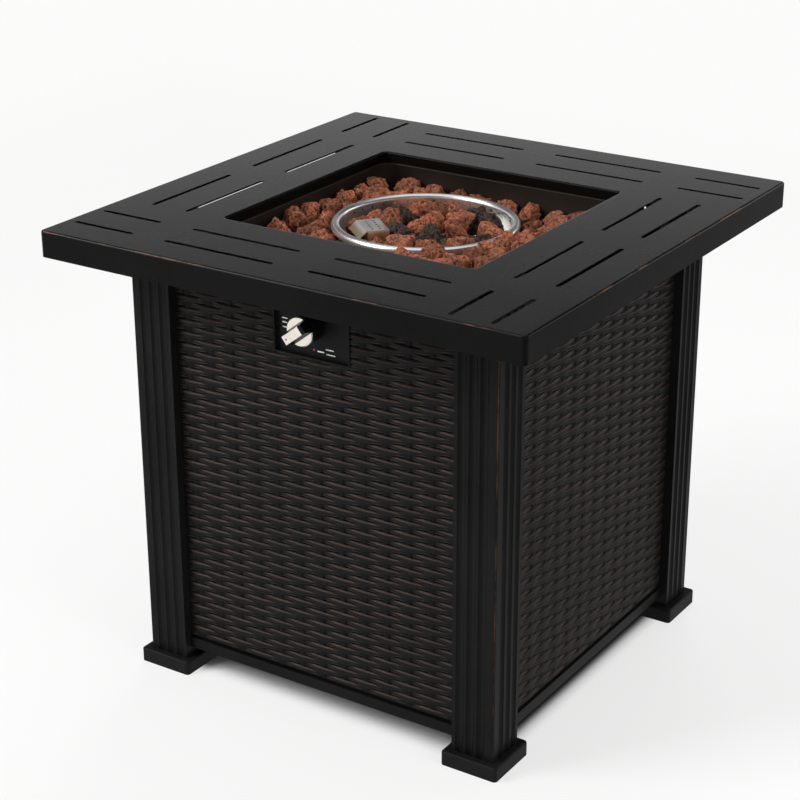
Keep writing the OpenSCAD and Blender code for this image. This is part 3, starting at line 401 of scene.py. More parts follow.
def shieldMaterial():
    material, tree, shader = newMaterial("shieldSteel", {"Metallic": 0.92})
    coat = useGroup(tree, coatGroup, {"Fine": 600.0, "Slow": 60.0})
    hot = ramp(tree, axes(tree)[2], *shieldSteel["bend"], 1.0, 0.0)
    steel = cloudTone(tree, coat, shieldSteel["dull"], shieldSteel["bright"])
    tone = mixTone(tree, times(tree, hot, shieldSteel["strawShare"]), steel, shieldSteel["straw"])
    feed(tree, shader, {"Base Color": tone, "Roughness": cloudLevel(tree, coat, 0.26, 0.36)})
    return material


def ceramicMaterial():
    material, tree, shader = newMaterial("whiteCeramic", {"Roughness": 0.25})
    coat = useGroup(tree, coatGroup, {"Fine": 600.0, "Slow": 60.0})
    tone = mixTone(tree, ramp(tree, coat["Cloud"], 0.35, 0.7), (0.72, 0.69, 0.62), (0.84, 0.82, 0.77))
    feed(tree, shader, {"Base Color": tone})
    return material


dress(["igniter_shield"], shieldMaterial())
dress(["ignition_electrode"], ceramicMaterial())


# pan of heat-proof enamel, browned towards its bottom

panWall = {
    "half": 0.1872,
    "corner": 0.024,
    "cornerSteps": 10,
    "top": 0.6207,
    "bottom": 0.5722,
    "edge": 0.0020,          # radius of the rolled upper edge
    "edgeSteps": 6,
    "foot": 0.006,           # radius of the bend at the bottom
    "footSag": 0.0018,       # and how far its middle stands in from the corner
    "black": (0.0050, 0.0040, 0.0034),
    "brown": (0.022, 0.0135, 0.0095),
    "browned": (0.575, 0.626),
}


def enamelMaterial():
    material, tree, shader = newMaterial("panEnamel", {"Specular IOR Level": 0.1})
    coat = useGroup(tree, coatGroup, {"Fine": 700.0, "Slow": 16.0})
    low = ramp(tree, axes(tree)[2], *panWall["browned"], 1.0, 0.35)
    heat = times(tree, low, ramp(tree, coat["Cloud"], 0.3, 0.65, 0.4, 1.0))
    tone = mixTone(tree, heat, panWall["black"], panWall["brown"])
    feed(tree, shader, {"Base Color": tone, "Roughness": cloudLevel(tree, coat, 0.36, 0.5)})
    bump(tree, shader, coat["Grain"], 0.3, 0.0002)
    return material


panEnamel = enamelMaterial()
dress(["burner_pan"], panEnamel)


# upright section of the wall, as (inset, height), from its rolled edge down to its foot
def panProfile():
    edge, foot, sag = panWall["edge"], panWall["foot"], panWall["footSag"]
    top, bottom = panWall["top"], panWall["bottom"]
    turns = [math.radians(90 * i / panWall["edgeSteps"]) for i in range(panWall["edgeSteps"] + 1)]
    rolled = [(edge * (math.sin(a) - 1), top - edge + edge * math.cos(a)) for a in turns]
    return rolled + [(0.0, bottom + foot), (sag, bottom + sag), (foot, bottom)]


# inner face of the pan's wall, with its drawn corners and rolled edge
def makePanWall():
    mesh = bmesh.new()
    steps, reach = panWall["cornerSteps"], panWall["half"] - panWall["corner"]
    rings = []
    for inset, height in panProfile():
        ring = []
        for quarter, (sideX, sideY) in enumerate(((1, 1), (-1, 1), (-1, -1), (1, -1))):
            for i in range(steps + 1):
                a = math.radians(90 * (quarter + i / steps))
                radius = panWall["corner"] - inset
                spot = (sideX * reach + radius * math.cos(a), sideY * reach + radius * math.sin(a), height)
                ring.append(mesh.verts.new(spot))
        rings.append(ring)
    for upper, lower in zip(rings, rings[1:]):
        for i, v in enumerate(upper):
            j = (i + 1) % len(upper)
            mesh.faces.new((v, upper[j], lower[j], lower[i]))
    bmesh.ops.recalc_face_normals(mesh, faces=mesh.faces)
    bmesh.ops.reverse_faces(mesh, faces=mesh.faces)
    finishPiece(mesh, "panWall", panEnamel, "table")


makePanWall()
print("metals done")


# wicker pressed into the side panels: strands swing out over one stake and in behind the next, where the
# stake's three ribs show, and bronze is brushed along the upper edges that stand out; the bronze also
# stands in for a painted highlight of light from above, painted shade darkens the gaps, the strands behind
# and the lines between the ribs, and painted glints lie beside the stakes

weave = {
    "strandHeight": 0.0083,
    "firstTop": 0.3249,      # upper edge of a strand that passes over the odd stakes
    "stakePitch": 0.0337,
    "stakeOffset": 0.0069,   # first stake from the middle of a panel
    "stakeWidth": 0.0078,
    "sway": 0.0010,          # how far a strand swings out and in
    "chamfer": 0.0011,       # how far its upper edge falls back
    "groove": 0.0024,        # depth of the gap at its lower edge
    "border": 0.0018,
    "fade": 0.0012,          # width over which the weave ends at the border
    "sheet": 0.2629,         # plane of the flat border
    "face": 0.2647,          # plane of the highest strands
    "back": 0.2490,          # inner edge of the turned-in sides
    "pocketEdge": 0.2614,    # inner edge of the turned-in pocket
    "rowSteps": (0.03, 0.12, 0.22, 0.42, 0.66, 0.84, 0.95),
    "ribColumns": 9,         # grid columns over a stake
    "gapColumns": 6,         # and between two stakes
    "columnGap": 0.0003,     # least distance of a column from the border
    "rowGap": 0.0002,        # and of a row
}
wickerTones = {
    # gap: tone of the painted shade where the painted light is lowest
    "gap": (0.0005, 0.0005, 0.0005),
    "strand": (0.0068, 0.0068, 0.0070),
    # brushed bronze, which also stands in for a painted highlight of light from above
    "bronzeAndHighlight": (0.034, 0.0215, 0.0168),
    # tone of the painted glint
    "glint": (0.040, 0.040, 0.039),
    # tone of the painted shade in the lines between a stake's ribs
    "stakeLineShade": (0.0012, 0.0012, 0.0012),
    "streaks": (60.0, 60.0, 1400.0),  # fine lines along the strands
    "ridges": 3,                      # of each strand
    "metallic": 0.22,
    "polish": 0.12,                   # how much smoother the bronze is
}
# painted light, painted shade in the stake's lines, bronze with its painted highlight, and a painted glint
weaveLooks = ("paintedLight", "stakeLineShade", "bronzeAndHighlight", "glint")


def wickerMaterial():
    material, tree, shader = newMaterial("wickerBronze", {"Specular IOR Level": 0.07})
    paintedLight, stakeLineShade, bronzeAndHighlight, glint = (add(tree, "Attribute", attribute_name=n).outputs["Fac"] for n in weaveLooks)
    coat = useGroup(tree, coatGroup, {"Fine": 650.0, "Slow": 9.0})
    place = axes(tree)
    drawn = [times(tree, along, scale) for along, scale in zip(place, wickerTones["streaks"])]
    streakPlace = add(tree, "CombineXYZ", dict(enumerate(drawn))).outputs[0]
    streaks = noiseValue(tree, streakPlace, 1.0, 3.0, 0.6)
    height = calc(tree, "SUBTRACT", place[2], weave["firstTop"])
    level = times(tree, height, math.tau * wickerTones["ridges"] / weave["strandHeight"])
    ridges = times(tree, calc(tree, "SINE", level), 0.5)
    # bronze brushed in streaks, also standing in for a painted highlight from light above
    brushedBronzeAndHighlight = times(tree, bronzeAndHighlight, ramp(tree, streaks, 0.3, 0.62, 0.55, 1.0))
    brushedBronzeAndHighlight = times(tree, brushedBronzeAndHighlight, ramp(tree, coat["Cloud"], 0.25, 0.7, 0.6, 1.0))
    # painted shade: the gap tone where unlit, the strand tone where lit
    tone = mixTone(tree, ramp(tree, paintedLight, 0.05, 0.95), wickerTones["gap"], wickerTones["strand"])
    tone = mixTone(tree, brushedBronzeAndHighlight, tone, wickerTones["bronzeAndHighlight"])
    # painted glint on the ridges
    tone = mixTone(tree, times(tree, glint, ramp(tree, ridges, -0.2, 0.4)), tone, wickerTones["glint"])
    # painted shade in the lines between the stake's ribs
    tone = mixTone(tree, times(tree, stakeLineShade, 0.65), tone, wickerTones["stakeLineShade"])
    matt = ramp(tree, paintedLight, 0.2, 0.95, 0.7, 0.45)
    rough = calc(tree, "SUBTRACT", matt, times(tree, brushedBronzeAndHighlight, wickerTones["polish"]))
    metallic = times(tree, brushedBronzeAndHighlight, wickerTones["metallic"])
    feed(tree, shader, {"Base Color": tone, "Metallic": metallic, "Roughness": rough})
    relief = calc(tree, "ADD", calc(tree, "ADD", streaks, coat["Grain"]), ridges)
    bump(tree, shader, relief, 0.4, 0.0003)
    return material


wickerBronze = wickerMaterial()

# levels of one strand: "up" runs from 0 at its lower edge to 1 at its upper one, and "in" from -1 where it
# passes over a stake to 1 where it passes behind
strand = {
    "hiddenIn": (0.45, 0.97),
    "gapUp": (0.12, 0.32),
    "gapIn": (-0.7, -0.1),
    "chamferUp": 0.7,
    "chamferCurve": 1.3,
    # painted light: how it dims where the strand passes behind, and its least level
    "paintedLightIn": (-0.5, 0.9),
    "leastPaintedLight": 0.6,
    "bronzeAndHighlightUp": (0.70, 0.88),
    # where the painted glint lies on a strand
    "glintUp": 0.42,
    "glintHalf": 0.12,
    "glintIn": (-0.2, 0.2),
    "glintOut": (0.6, 0.9),
    "stakeFrom": (0.1, 0.2),
    "stakeTo": (0.9, 0.99),
    "stakeDepth": (0.75, 1.25),  # of its ribs and of the lines between them, in sways
    "stakeLine": 0.6,            # how thin those lines are
}


def soft(value, low, high):
    t = min(1.0, max(0.0, (value - low) / (high - low)))
    return t * t * (3 - 2 * t)


# depth of the weave under its face, and how far each of the four looks shows
def weaveSpot(x, z):
    level = (z - weave["firstTop"]) / weave["strandHeight"]
    row = math.ceil(level)
    up = level - row + 1
    step = (x - weave["stakeOffset"]) / weave["stakePitch"]
    side = abs(step - round(step)) * weave["stakePitch"] / (weave["stakeWidth"] / 2)
    inward = math.cos(math.pi * step) * (-1 if row % 2 else 1)
    shownOver = 1 - soft(inward, *strand["hiddenIn"])
    gap = (1 - soft(up, *strand["gapUp"])) * soft(inward, *strand["gapIn"])
    edge = max(0.0, (up - strand["chamferUp"]) / (1 - strand["chamferUp"])) ** strand["chamferCurve"]
    deep = weave["sway"] * (1 + inward) + weave["groove"] * gap + weave["chamfer"] * shownOver * edge
    least = strand["leastPaintedLight"]
    # painted light: none in the gap, less where the strand passes behind
    paintedLight = (1 - (1 - least) * soft(inward, *strand["paintedLightIn"])) * (1 - gap)
    # bronze on the upper edge, also standing in for a painted highlight of light from above
    bronzeAndHighlight = shownOver * soft(up, *strand["bronzeAndHighlightUp"])
    # painted glint beside the stakes
    glint = soft(inward, *strand["glintIn"]) * (1 - soft(inward, *strand["glintOut"]))
    glint *= max(0.0, 1 - abs(up - strand["glintUp"]) / strand["glintHalf"])
    stakeLineShade = 0.0
    if inward > 0 and side < 1:
        shown = soft(up, *strand["stakeFrom"]) * (1 - soft(up, *strand["stakeTo"]))
        rib = abs(math.cos(1.5 * math.pi * side))
        ribDepth, lineDepth = strand["stakeDepth"]
        # painted shade in the lines between the stake's ribs, and painted light on the ribs
        stakeLineShade = shown * (1 - rib) ** strand["stakeLine"]
        paintedLight += shown * (least + (1 - least) * rib - paintedLight)
        deep += shown * (weave["sway"] * (ribDepth * rib + lineDepth * (1 - rib)) - deep)
    return deep, (paintedLight, stakeLineShade, bronzeAndHighlight, glint)


def weaveColumns(x0, x1):
    pitch, width, least = weave["stakePitch"], weave["stakeWidth"], weave["columnGap"]
    ribs, gaps = weave["ribColumns"], weave["gapColumns"]
    places = []
    for k in range(math.floor(x0 / pitch) - 1, math.ceil(x1 / pitch) + 2):
        left = weave["stakeOffset"] + k * pitch - width / 2
        places += [left + i * width / ribs for i in range(ribs)]
        places += [left + width + i * (pitch - width) / gaps for i in range(gaps)]
    return [x0] + [x for x in places if x0 + least < x < x1 - least] + [x1]


def weaveRows(z0, z1):
    height, start, least = weave["strandHeight"], weave["firstTop"], weave["rowGap"]
    strands = range(math.floor((z0 - start) / height), math.ceil((z1 - start) / height) + 1)
    places = [start + (n - 1 + part) * height for n in strands for part in weave["rowSteps"]]
    return [z0] + [z for z in places if z0 + least < z < z1 - least] + [z1]


def weaveGrid(columns, rows):
    mesh = bmesh.new()
    for look in weaveLooks:
        mesh.verts.layers.float.new(look)
    lastColumn, lastRow = len(columns) - 1, len(rows) - 1
    bmesh.ops.create_grid(mesh, x_segments=lastColumn, y_segments=lastRow, size=0.5)
    for v in mesh.verts:
        across, up = round((v.co.x + 0.5) * lastColumn), round((v.co.y + 0.5) * lastRow)
        v.co = Vector((columns[across], 0, rows[up]))
    return mesh


def setLooks(mesh, v, looks):
    for name, value in zip(weaveLooks, looks):
        v[mesh.verts.layers.float[name]] = value


def inHole(spot, hole, slack=0.0):
    x0, x1, z0, z1 = hole
    return x0 - slack < spot.x < x1 + slack and z0 - slack < spot.z < z1 + slack


def cutHole(mesh, hole):
    for x in hole[:2]:
        slicePlane(mesh, (x, 0, 0), (1, 0, 0))
    for z in hole[2:]:
        slicePlane(mesh, (0, 0, z), (0, 0, 1))
    inside = [f for f in mesh.faces if inHole(f.calc_center_median(), hole)]
    bmesh.ops.delete(mesh, geom=inside, context="FACES")


def turnHoleIn(mesh, rim):
    paintedLight = mesh.verts.layers.float["paintedLight"]
    for v in vertsOf(bmesh.ops.extrude_edge_only(mesh, edges=rim)):
        v.co.y = -weave["pocketEdge"]
        # painted shade on the turned-in edge of the pocket
        v[paintedLight] = 0.2


# the flat border round the weave, then the turned-in sides
def growSides(mesh, rim, x0, x1, z0, z1):
    border = weave["border"] + 1e-5

    def outermost(place, low, high):
        return low if place < low + border else high if place > high - border else place

    grown = bmesh.ops.extrude_edge_only(mesh, edges=rim)
    for v in vertsOf(grown):
        v.co = Vector((outermost(v.co.x, x0, x1), -weave["sheet"], outermost(v.co.z, z0, z1)))
        # half painted light, and half the bronze with its painted highlight, on the border
        setLooks(mesh, v, (0.5, 0.0, 0.5, 0.0))
    rim = [g for g in grown["geom"] if isinstance(g, bmesh.types.BMEdge)]
    for v in vertsOf(bmesh.ops.extrude_edge_only(mesh, edges=rim)):
        v.co.y = -weave["back"]
        # half painted light on the turned-in sides
        setLooks(mesh, v, (0.5, 0.0, 0.0, 0.0))


def wickerPanel(name, side, box, body, replaced, hole=None):
    (x0, z0), (x1, z1) = (box[0].x, box[0].z), (box[1].x, box[1].z)
    border = weave["border"]
    left, right, low, high = x0 + border, x1 - border, z0 + border, z1 - border
    mesh = weaveGrid(weaveColumns(left, right), weaveRows(low, high))
    if hole:
        cutHole(mesh, hole)
    for v in mesh.verts:
        deep, looks = weaveSpot(v.co.x, v.co.z)
        edge = min(v.co.x - left, right - v.co.x, v.co.z - low, high - v.co.z)
        fade = min(1.0, max(0.0, edge / weave["fade"]))
        setLooks(mesh, v, looks)
        v.co.y = -weave["sheet"] - fade * (weave["face"] - weave["sheet"] - deep)
    rim = [e for e in mesh.edges if e.is_boundary]
    if hole:
        holeRim = [e for e in rim if all(inHole(v.co, hole, 1e-4) for v in e.verts)]
        rim = [e for e in rim if e not in holeRim]
        turnHoleIn(mesh, holeRim)
    growSides(mesh, rim, x0, x1, z0, z1)
    turn(mesh, mesh.verts, side, "Z")
    bmesh.ops.recalc_face_normals(mesh, faces=mesh.faces)
    finishPiece(mesh, name, wickerBronze, body, replaced=replaced)


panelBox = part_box("front_panel")
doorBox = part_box("access_door")
pocket = (-0.0575, 0.0575, 0.5035, 0.5915)  # left, right, bottom, top
wickerPanel("frontWicker", 0, panelBox, "table", ["front_panel"], pocket)
wickerPanel("rightWicker", 90, panelBox, "table", ["right_panel"])
wickerPanel("leftWicker", 270, panelBox, "table", ["left_panel"])
wickerPanel("doorWicker", 180, doorBox, "door", ["access_door"])
print("wicker done")


# lava rock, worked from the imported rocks

lava = {
    "cuts": 7,
    "grow": (1.08, 1.34),    # each rock by its own share
    "chips": 9,
    "chip": (0.70, 0.94),    # how far out a broken face lies, in mean radii
    "chipFlat": 0.92,        # how flat it is
    "lump": 0.0034,
    "lumpScale": 60,
    "crease": 0.0042,
    "creaseScale": 105,
    "fineCreaseScale": 230,
    "creaseLevel": 0.45,
    "pit": 0.0028,
    "pitScale": 165,
    "pitReach": 0.40,
    "highest": 0.6340,       # no rock stands above the table top
    "settle": 0.0070,        # depth over which a high rock is pressed down
    "besideBowl": 0.165,     # pan rocks nearer to the axis than this sink to the level of the rim
    "rimLevel": 0.6200,
    "floor": 0.5735,
    "charredPan": 0.02,      # share of charred rocks in the pan
    "charredBowl": 0.19,     # and in the bowl
    "seed": 11,
}
lavaTones = {
    "warm": ((0.200, 0.055, 0.027), (0.560, 0.200, 0.112)),
    "dull": ((0.120, 0.042, 0.024), (0.400, 0.170, 0.104)),
    "brown": (0.085, 0.036, 0.023),
    "charred": ((0.018, 0.013, 0.011), (0.105, 0.072, 0.058)),
    # tones of the painted shade in the burst bubbles and the pores
    "pit": (0.016, 0.007, 0.005),
    "pore": (0.022, 0.010, 0.007),
}


def lavaMaterial():
    material, tree, shader = newMaterial("lavaRock", {"Roughness": 0.95, "Specular IOR Level": 0.15})
    tint, pit = (add(tree, "Attribute", attribute_name=n).outputs["Fac"] for n in ("tint", "pit"))
    place = objectPlace(tree)
    grain = noiseValue(tree, place, 190.0, 6.0, 0.72)
    patch = noiseValue(tree, place, 45.0, 3.0, 0.6)
    pores, sponge = (add(tree, "TexVoronoi", {"Vector": place, "Scale": scale}).outputs["Distance"]
                     for scale in (330.0, 760.0))
    warm, dull = (mixTone(tree, ramp(tree, grain, 0.3, 0.7), *lavaTones[n]) for n in ("warm", "dull"))
    tone = mixTone(tree, ramp(tree, patch, 0.38, 0.66), warm, dull)
    tone = mixTone(tree, ramp(tree, tint, 0.2, 0.62, 0.0, 0.6), tone, lavaTones["brown"])
    charred = mixTone(tree, ramp(tree, grain, 0.3, 0.72), *lavaTones["charred"])
    burnt = calc(tree, "ADD", tint, times(tree, patch, 0.3))
    tone = mixTone(tree, ramp(tree, burnt, 0.72, 0.95), tone, charred)
    # painted shade in the burst bubbles
    tone = mixTone(tree, times(tree, pit, 0.9), tone, lavaTones["pit"])
    # painted shade in the fine pores and spongy holes
    poreDark = ramp(tree, pores, 0.12, 0.36, 0.72, 0.0)
    spongeDark = ramp(tree, sponge, 0.08, 0.3, 0.5, 0.0)
    tone = mixTone(tree, calc(tree, "MAXIMUM", poreDark, spongeDark), tone, lavaTones["pore"])
    feed(tree, shader, {"Base Color": tone})
    holes = calc(tree, "ADD", ramp(tree, pores, 0.05, 0.38), times(tree, ramp(tree, sponge, 0.05, 0.35), 0.5))
    bump(tree, shader, calc(tree, "ADD", holes, grain), 1.0, 0.0022)
    return material


lavaRock = lavaMaterial()


# how far a rock's surface stands out by its lumps, creases and burst bubbles, and how deep in a bubble
# it lies
def rockSurface(spot, shift):
    lump = noise.fractal(spot * lava["lumpScale"] + shift, 0.9, 2.1, 3)
    crease = abs(noise.noise(spot * lava["creaseScale"] - shift))
    crease += 0.5 * abs(noise.noise(spot * lava["fineCreaseScale"] + shift))
    near = noise.voronoi(spot * lava["pitScale"] + shift)[0][0]
    hole = max(0.0, lava["pitReach"] - near) / lava["pitReach"]
    out = lump * lava["lump"] - (lava["creaseLevel"] - crease) * lava["crease"] - hole * lava["pit"]
    return out, hole


# breaks a rock into flat chipped faces, then roughens them
def roughenRock(mesh, rock, chance, charredShare):
    tint, pit = (mesh.verts.layers.float[n] for n in ("tint", "pit"))
    middle = sum((v.co for v in rock), Vector()) / len(rock)
    shade = 1.0 if chance.random() < charredShare else chance.uniform(0.0, 0.62)
    shift = Vector((chance.uniform(-9, 9), chance.uniform(-9, 9), chance.uniform(-9, 9)))
    radius = sum((v.co - middle).length for v in rock) / len(rock)
    chips = []
    for _ in range(lava["chips"]):
        way = Vector([chance.gauss(0, 1) for _ in range(3)]).normalized()
        chips.append((way, radius * chance.uniform(*lava["chip"])))
    grow = chance.uniform(*lava["grow"])
    for v in rock:
        v.co = middle + (v.co - middle) * grow
        for way, reach in chips:
            v.co -= way * max(0.0, (v.co - middle).dot(way) - reach) * lava["chipFlat"]
        out, hole = rockSurface(v.co, shift)
        v[tint] = shade
        # how much painted shade the bubble gets
        v[pit] = min(1.0, 1.5 * hole)
        v.co += (v.co - middle).normalized() * out
        over = v.co.z - lava["highest"] + lava["settle"]
        if over > 0:
            v.co.z = lava["highest"] - lava["settle"] * math.exp(-over / lava["settle"])
    return middle


def sinkRock(rock):
    top, foot = max(v.co.z for v in rock), min(v.co.z for v in rock)
    sink = min(max(0.0, top - lava["rimLevel"]), max(0.0, foot - lava["floor"]))
    for v in rock:
        v.co.z -= sink


def rockIslands(mesh):
    unseen = set(mesh.verts)
    while unseen:
        island, edge = set(), [next(iter(unseen))]
        while edge:
            v = edge.pop()
            if v not in island:
                island.add(v)
                edge.extend(e.other_vert(v) for e in v.link_edges)
        unseen -= island
        yield sorted(island, key=lambda v: v.index)


def rockBed(name, source, seed, charredShare, besideBowl):
    mesh = bmesh.new()
    mesh.from_mesh(nodes[source].data)
    bmesh.ops.remove_doubles(mesh, verts=mesh.verts, dist=1e-5)
    bmesh.ops.subdivide_edges(mesh, edges=mesh.edges, cuts=lava["cuts"], use_grid_fill=True)
    bmesh.ops.smooth_vert(mesh, verts=mesh.verts, factor=0.5,
                          use_axis_x=True, use_axis_y=True, use_axis_z=True)
    for layer in ("tint", "pit"):
        mesh.verts.layers.float.new(layer)
    mesh.verts.index_update()
    chance = random.Random(seed)
    for rock in sorted(rockIslands(mesh), key=lambda rock: rock[0].index):
        middle = roughenRock(mesh, rock, chance, charredShare)
        if middle.xy.length < besideBowl:
            sinkRock(rock)
    bmesh.ops.recalc_face_normals(mesh, faces=mesh.faces)
    finishPiece(mesh, name, lavaRock, "table", replaced=[source])


rockBed("lavaRocksPan", "lava_rocks_pan", lava["seed"], lava["charredPan"], lava["besideBowl"])
rockBed("lavaRocksBowl", "lava_rocks_bowl", lava["seed"] + 1, lava["charredBowl"], 0.0)
print("rocks done")


# knob: a black body and grip, a bright face on both sides of the grip and a bright strip along it

knob = {
    "axisHeight": 0.5475,
    "angle": 218,
    "back": 0.2625,
    "bodyRadius": 0.0190,
    "bodyChamfer": 0.0010,
    "faceRadius": 0.0194,
    "faceBack": 0.2835,
    "backChamfer": 0.0008,
    "face": 0.289,
    "faceChamfer": 0.0012,
    "gripTop": 0.3015,
    "gripWidth": 0.0122,
    "gripFoot": 0.0188,      # width of the grip where it meets the face
    "gripEdge": 0.0005,      # rounding of its edges
    "cap": 0.0014,           # thickness of the bright strip on the grip
    "capLap": 0.0004,        # how far the strip laps over the grip
    "capTaper": 0.0002,
    "tip": 0.0178,           # from the axis to the marked end of the grip
    "inset": 0.0010,         # how far the black grip stays behind the strip and the face
    "split": -0.0122,        # where the bright strip ends
    "tail": -0.0172,
    "dotRadius": 0.0011,
    "dotFromTip": 0.0045,
    "dotProud": 0.0001,
}


def chromeMaterial():
    material, tree, shader = newMaterial("knobChrome", {"Metallic": 1.0})
    coat = useGroup(tree, coatGroup, {"Fine": 900.0, "Slow": 120.0})
    tone = cloudTone(tree, coat, (0.80, 0.75, 0.68), (0.88, 0.84, 0.77))
    feed(tree, shader, {"Base Color": tone, "Roughness": cloudLevel(tree, coat, 0.2, 0.3)})
    return material


knobChrome = chromeMaterial()


def finishKnob(mesh, name, material, replaced=()):
    turn(mesh, mesh.verts, -knob["angle"], "Y")
    bmesh.ops.translate(mesh, verts=mesh.verts, vec=(0, 0, knob["axisHeight"]))
    finishPiece(mesh, name, material, "knob", smooth=False, replaced=replaced)


def lathe(points, steps=72):
    mesh = bmesh.new()
    line = [mesh.verts.new((x, -y, 0)) for x, y in points]
    edges = [mesh.edges.new(pair) for pair in zip(line, line[1:])]
    bmesh.ops.spin(mesh, geom=line + edges, cent=(0, 0, 0), axis=(0, 1, 0), angle=math.tau, steps=steps,
                   use_merge=True)
    bmesh.ops.remove_doubles(mesh, verts=mesh.verts, dist=1e-6)
    bmesh.ops.recalc_face_normals(mesh, faces=mesh.faces)
    return mesh


# a bar from start to end, with its foot and its top each given as (distance, width)
def addGrip(mesh, start, end, foot, top):
    grip = bmesh.ops.create_cube(mesh, size=1.0)["verts"]
    for v in grip:
        depth, width = top if v.co.y < 0 else foot
        v.co = Vector((start if v.co.x < 0 else end, -depth, v.co.z * width))
    bars = {e for v in grip for e in v.link_edges}
    bmesh.ops.bevel(mesh, geom=list(bars), offset=knob["gripEdge"], offset_type="OFFSET", affect="EDGES",
                    segments=2, profile=0.5, material=-1)


def cutMiddle(mesh):
    half = knob["gripFoot"] / 2
    for side in (-half, half):
        slicePlane(mesh, (0, 0, side), (0, 0, 1))
    middle = [f for f in mesh.faces if abs(f.calc_center_median().z) < half]
    bmesh.ops.delete(mesh, geom=middle, context="FACES")
    bmesh.ops.holes_fill(mesh, edges=[e for e in mesh.edges if e.is_boundary], sides=0)


def makeKnobBody():
    r, chamfer = knob["bodyRadius"], knob["bodyChamfer"]
    back, front = knob["back"], knob["faceBack"]
    mesh = lathe([(0, back), (r - chamfer, back), (r, back + chamfer), (r, front), (0, front)])
    foot = (knob["face"] - knob["inset"], knob["gripFoot"])
    top = (knob["gripTop"] - knob["cap"], knob["gripWidth"])
    addGrip(mesh, knob["tail"], knob["tip"] - knob["inset"], foot, top)
    finishKnob(mesh, "knobBody", blackPlastic)


def makeKnobFace():
    r, back, face = knob["faceRadius"], knob["faceBack"], knob["face"]
    low, high = knob["backChamfer"], knob["faceChamfer"]
    mesh = lathe([(0, back), (r - low, back), (r, back + low), (r, face - high), (r - high, face), (0, face)])
    cutMiddle(mesh)
    foot = (knob["gripTop"] - knob["cap"] - knob["capLap"], knob["gripWidth"] + knob["capLap"])
    top = (knob["gripTop"], knob["gripWidth"] - knob["capTaper"])
    addGrip(mesh, knob["split"], knob["tip"], foot, top)
    finishKnob(mesh, "knobFace", knobChrome, ["control_knob"])


def makeKnobDot():
    spot = (knob["tip"] - knob["dotFromTip"], -knob["gripTop"] - knob["dotProud"], 0)
    finishKnob(frontDisc(knob["dotRadius"], 24, spot), "knobDot", blackPlastic)


makeKnobBody()
makeKnobFace()
makeKnobDot()


# plain marks on the control plate: strokes as (x, z, width, height), and a red dot as (x, z, radius)

marks = {
    "plate": 0.2575,
    "proud": 0.00015,
    "sunk": 0.0002,
    "strokes": (
        (-0.0442, 0.5476, 0.0085, 0.0016),
        (-0.0442, 0.5420, 0.0075, 0.0016),
        (-0.0442, 0.5358, 0.0065, 0.0016),
        (0.0100, 0.5133, 0.0100, 0.0017),
        (0.0235, 0.5180, 0.0120, 0.0015),
        (0.0250, 0.5117, 0.0130, 0.0015),
    ),
    "dot": (-0.0004, 0.5142, 0.0013),
    "white": (0.80, 0.80, 0.78),
    "red": (0.42, 0.05, 0.035),
}


def inkMaterial(name, colour):
    material, tree, shader = newMaterial(name, {"Roughness": 0.55, "Specular IOR Level": 0.3})
    worn = noiseValue(tree, objectPlace(tree), 1300.0, 2.0)
    tone = mixTone(tree, ramp(tree, worn, 0.35, 0.6), scaled(colour, 0.6), colour)
    feed(tree, shader, {"Base Color": tone})
    return material


def makeMarks():
    front, back = -marks["plate"] - marks["proud"], -marks["plate"] + marks["sunk"]
    mesh = bmesh.new()
    for x, z, width, height in marks["strokes"]:
        for v in bmesh.ops.create_cube(mesh, size=1.0)["verts"]:
            v.co = Vector((x + v.co.x * width, front if v.co.y < 0 else back, z + v.co.z * height))
    whiteInk = inkMaterial("whiteInk", marks["white"])
    finishPiece(mesh, "plateStrokes", whiteInk, "table", smooth=False)
    x, z, radius = marks["dot"]
    redInk = inkMaterial("redInk", marks["red"])
    finishPiece(frontDisc(radius, 20, (x, front, z)), "plateDot", redInk, "table", smooth=False)


makeMarks()


# dark sheet under the igniter's shield: painted shade that makes the shield's holes look dark

shieldShadeSheet = {
    "angle": 229,
    "near": 0.0585,
    "far": 0.0865,
    "half": 0.0245,
    "height": 0.6116,
    "thick": 0.0004,
    "black": (0.006, 0.005, 0.0045),
    "grey": (0.022, 0.018, 0.015),
}


def makeShieldShadeSheet():
    steel = {"Metallic": 0.3, "Roughness": 0.8, "Specular IOR Level": 0.15}
    material, tree, shader = newMaterial("shieldShadeSteel", steel)
    shadeCloud = useGroup(tree, coatGroup, {"Fine": 500.0, "Slow": 90.0})
    # painted shade in a slow cloudy tone
    feed(tree, shader, {"Base Color": cloudTone(tree, shadeCloud, shieldShadeSheet["black"], shieldShadeSheet["grey"])})
    mesh = bmesh.new()
    for v in bmesh.ops.create_cube(mesh, size=1.0)["verts"]:
        out = shieldShadeSheet["near"] if v.co.x < 0 else shieldShadeSheet["far"]
        height = shieldShadeSheet["height"] + v.co.z * shieldShadeSheet["thick"]
        v.co = Vector((out, 2 * v.co.y * shieldShadeSheet["half"], height))
    turn(mesh, mesh.verts, shieldShadeSheet["angle"], "Z")
    finishPiece(mesh, "shieldShadeSheet", material, "table", smooth=False)


makeShieldShadeSheet()


# pan-head screws through the door's hinge leaves

screws = {
    "spots": (-0.2035, -0.1945),
    "leaf": 0.2657,          # outer face of a leaf
    "radius": 0.0022,
    "head": 0.0011,
    "shoulder": 0.55,        # share of the head below its crown
    "crown": 0.8,            # radius of the crown as a share
    "taper": 0.86,
}


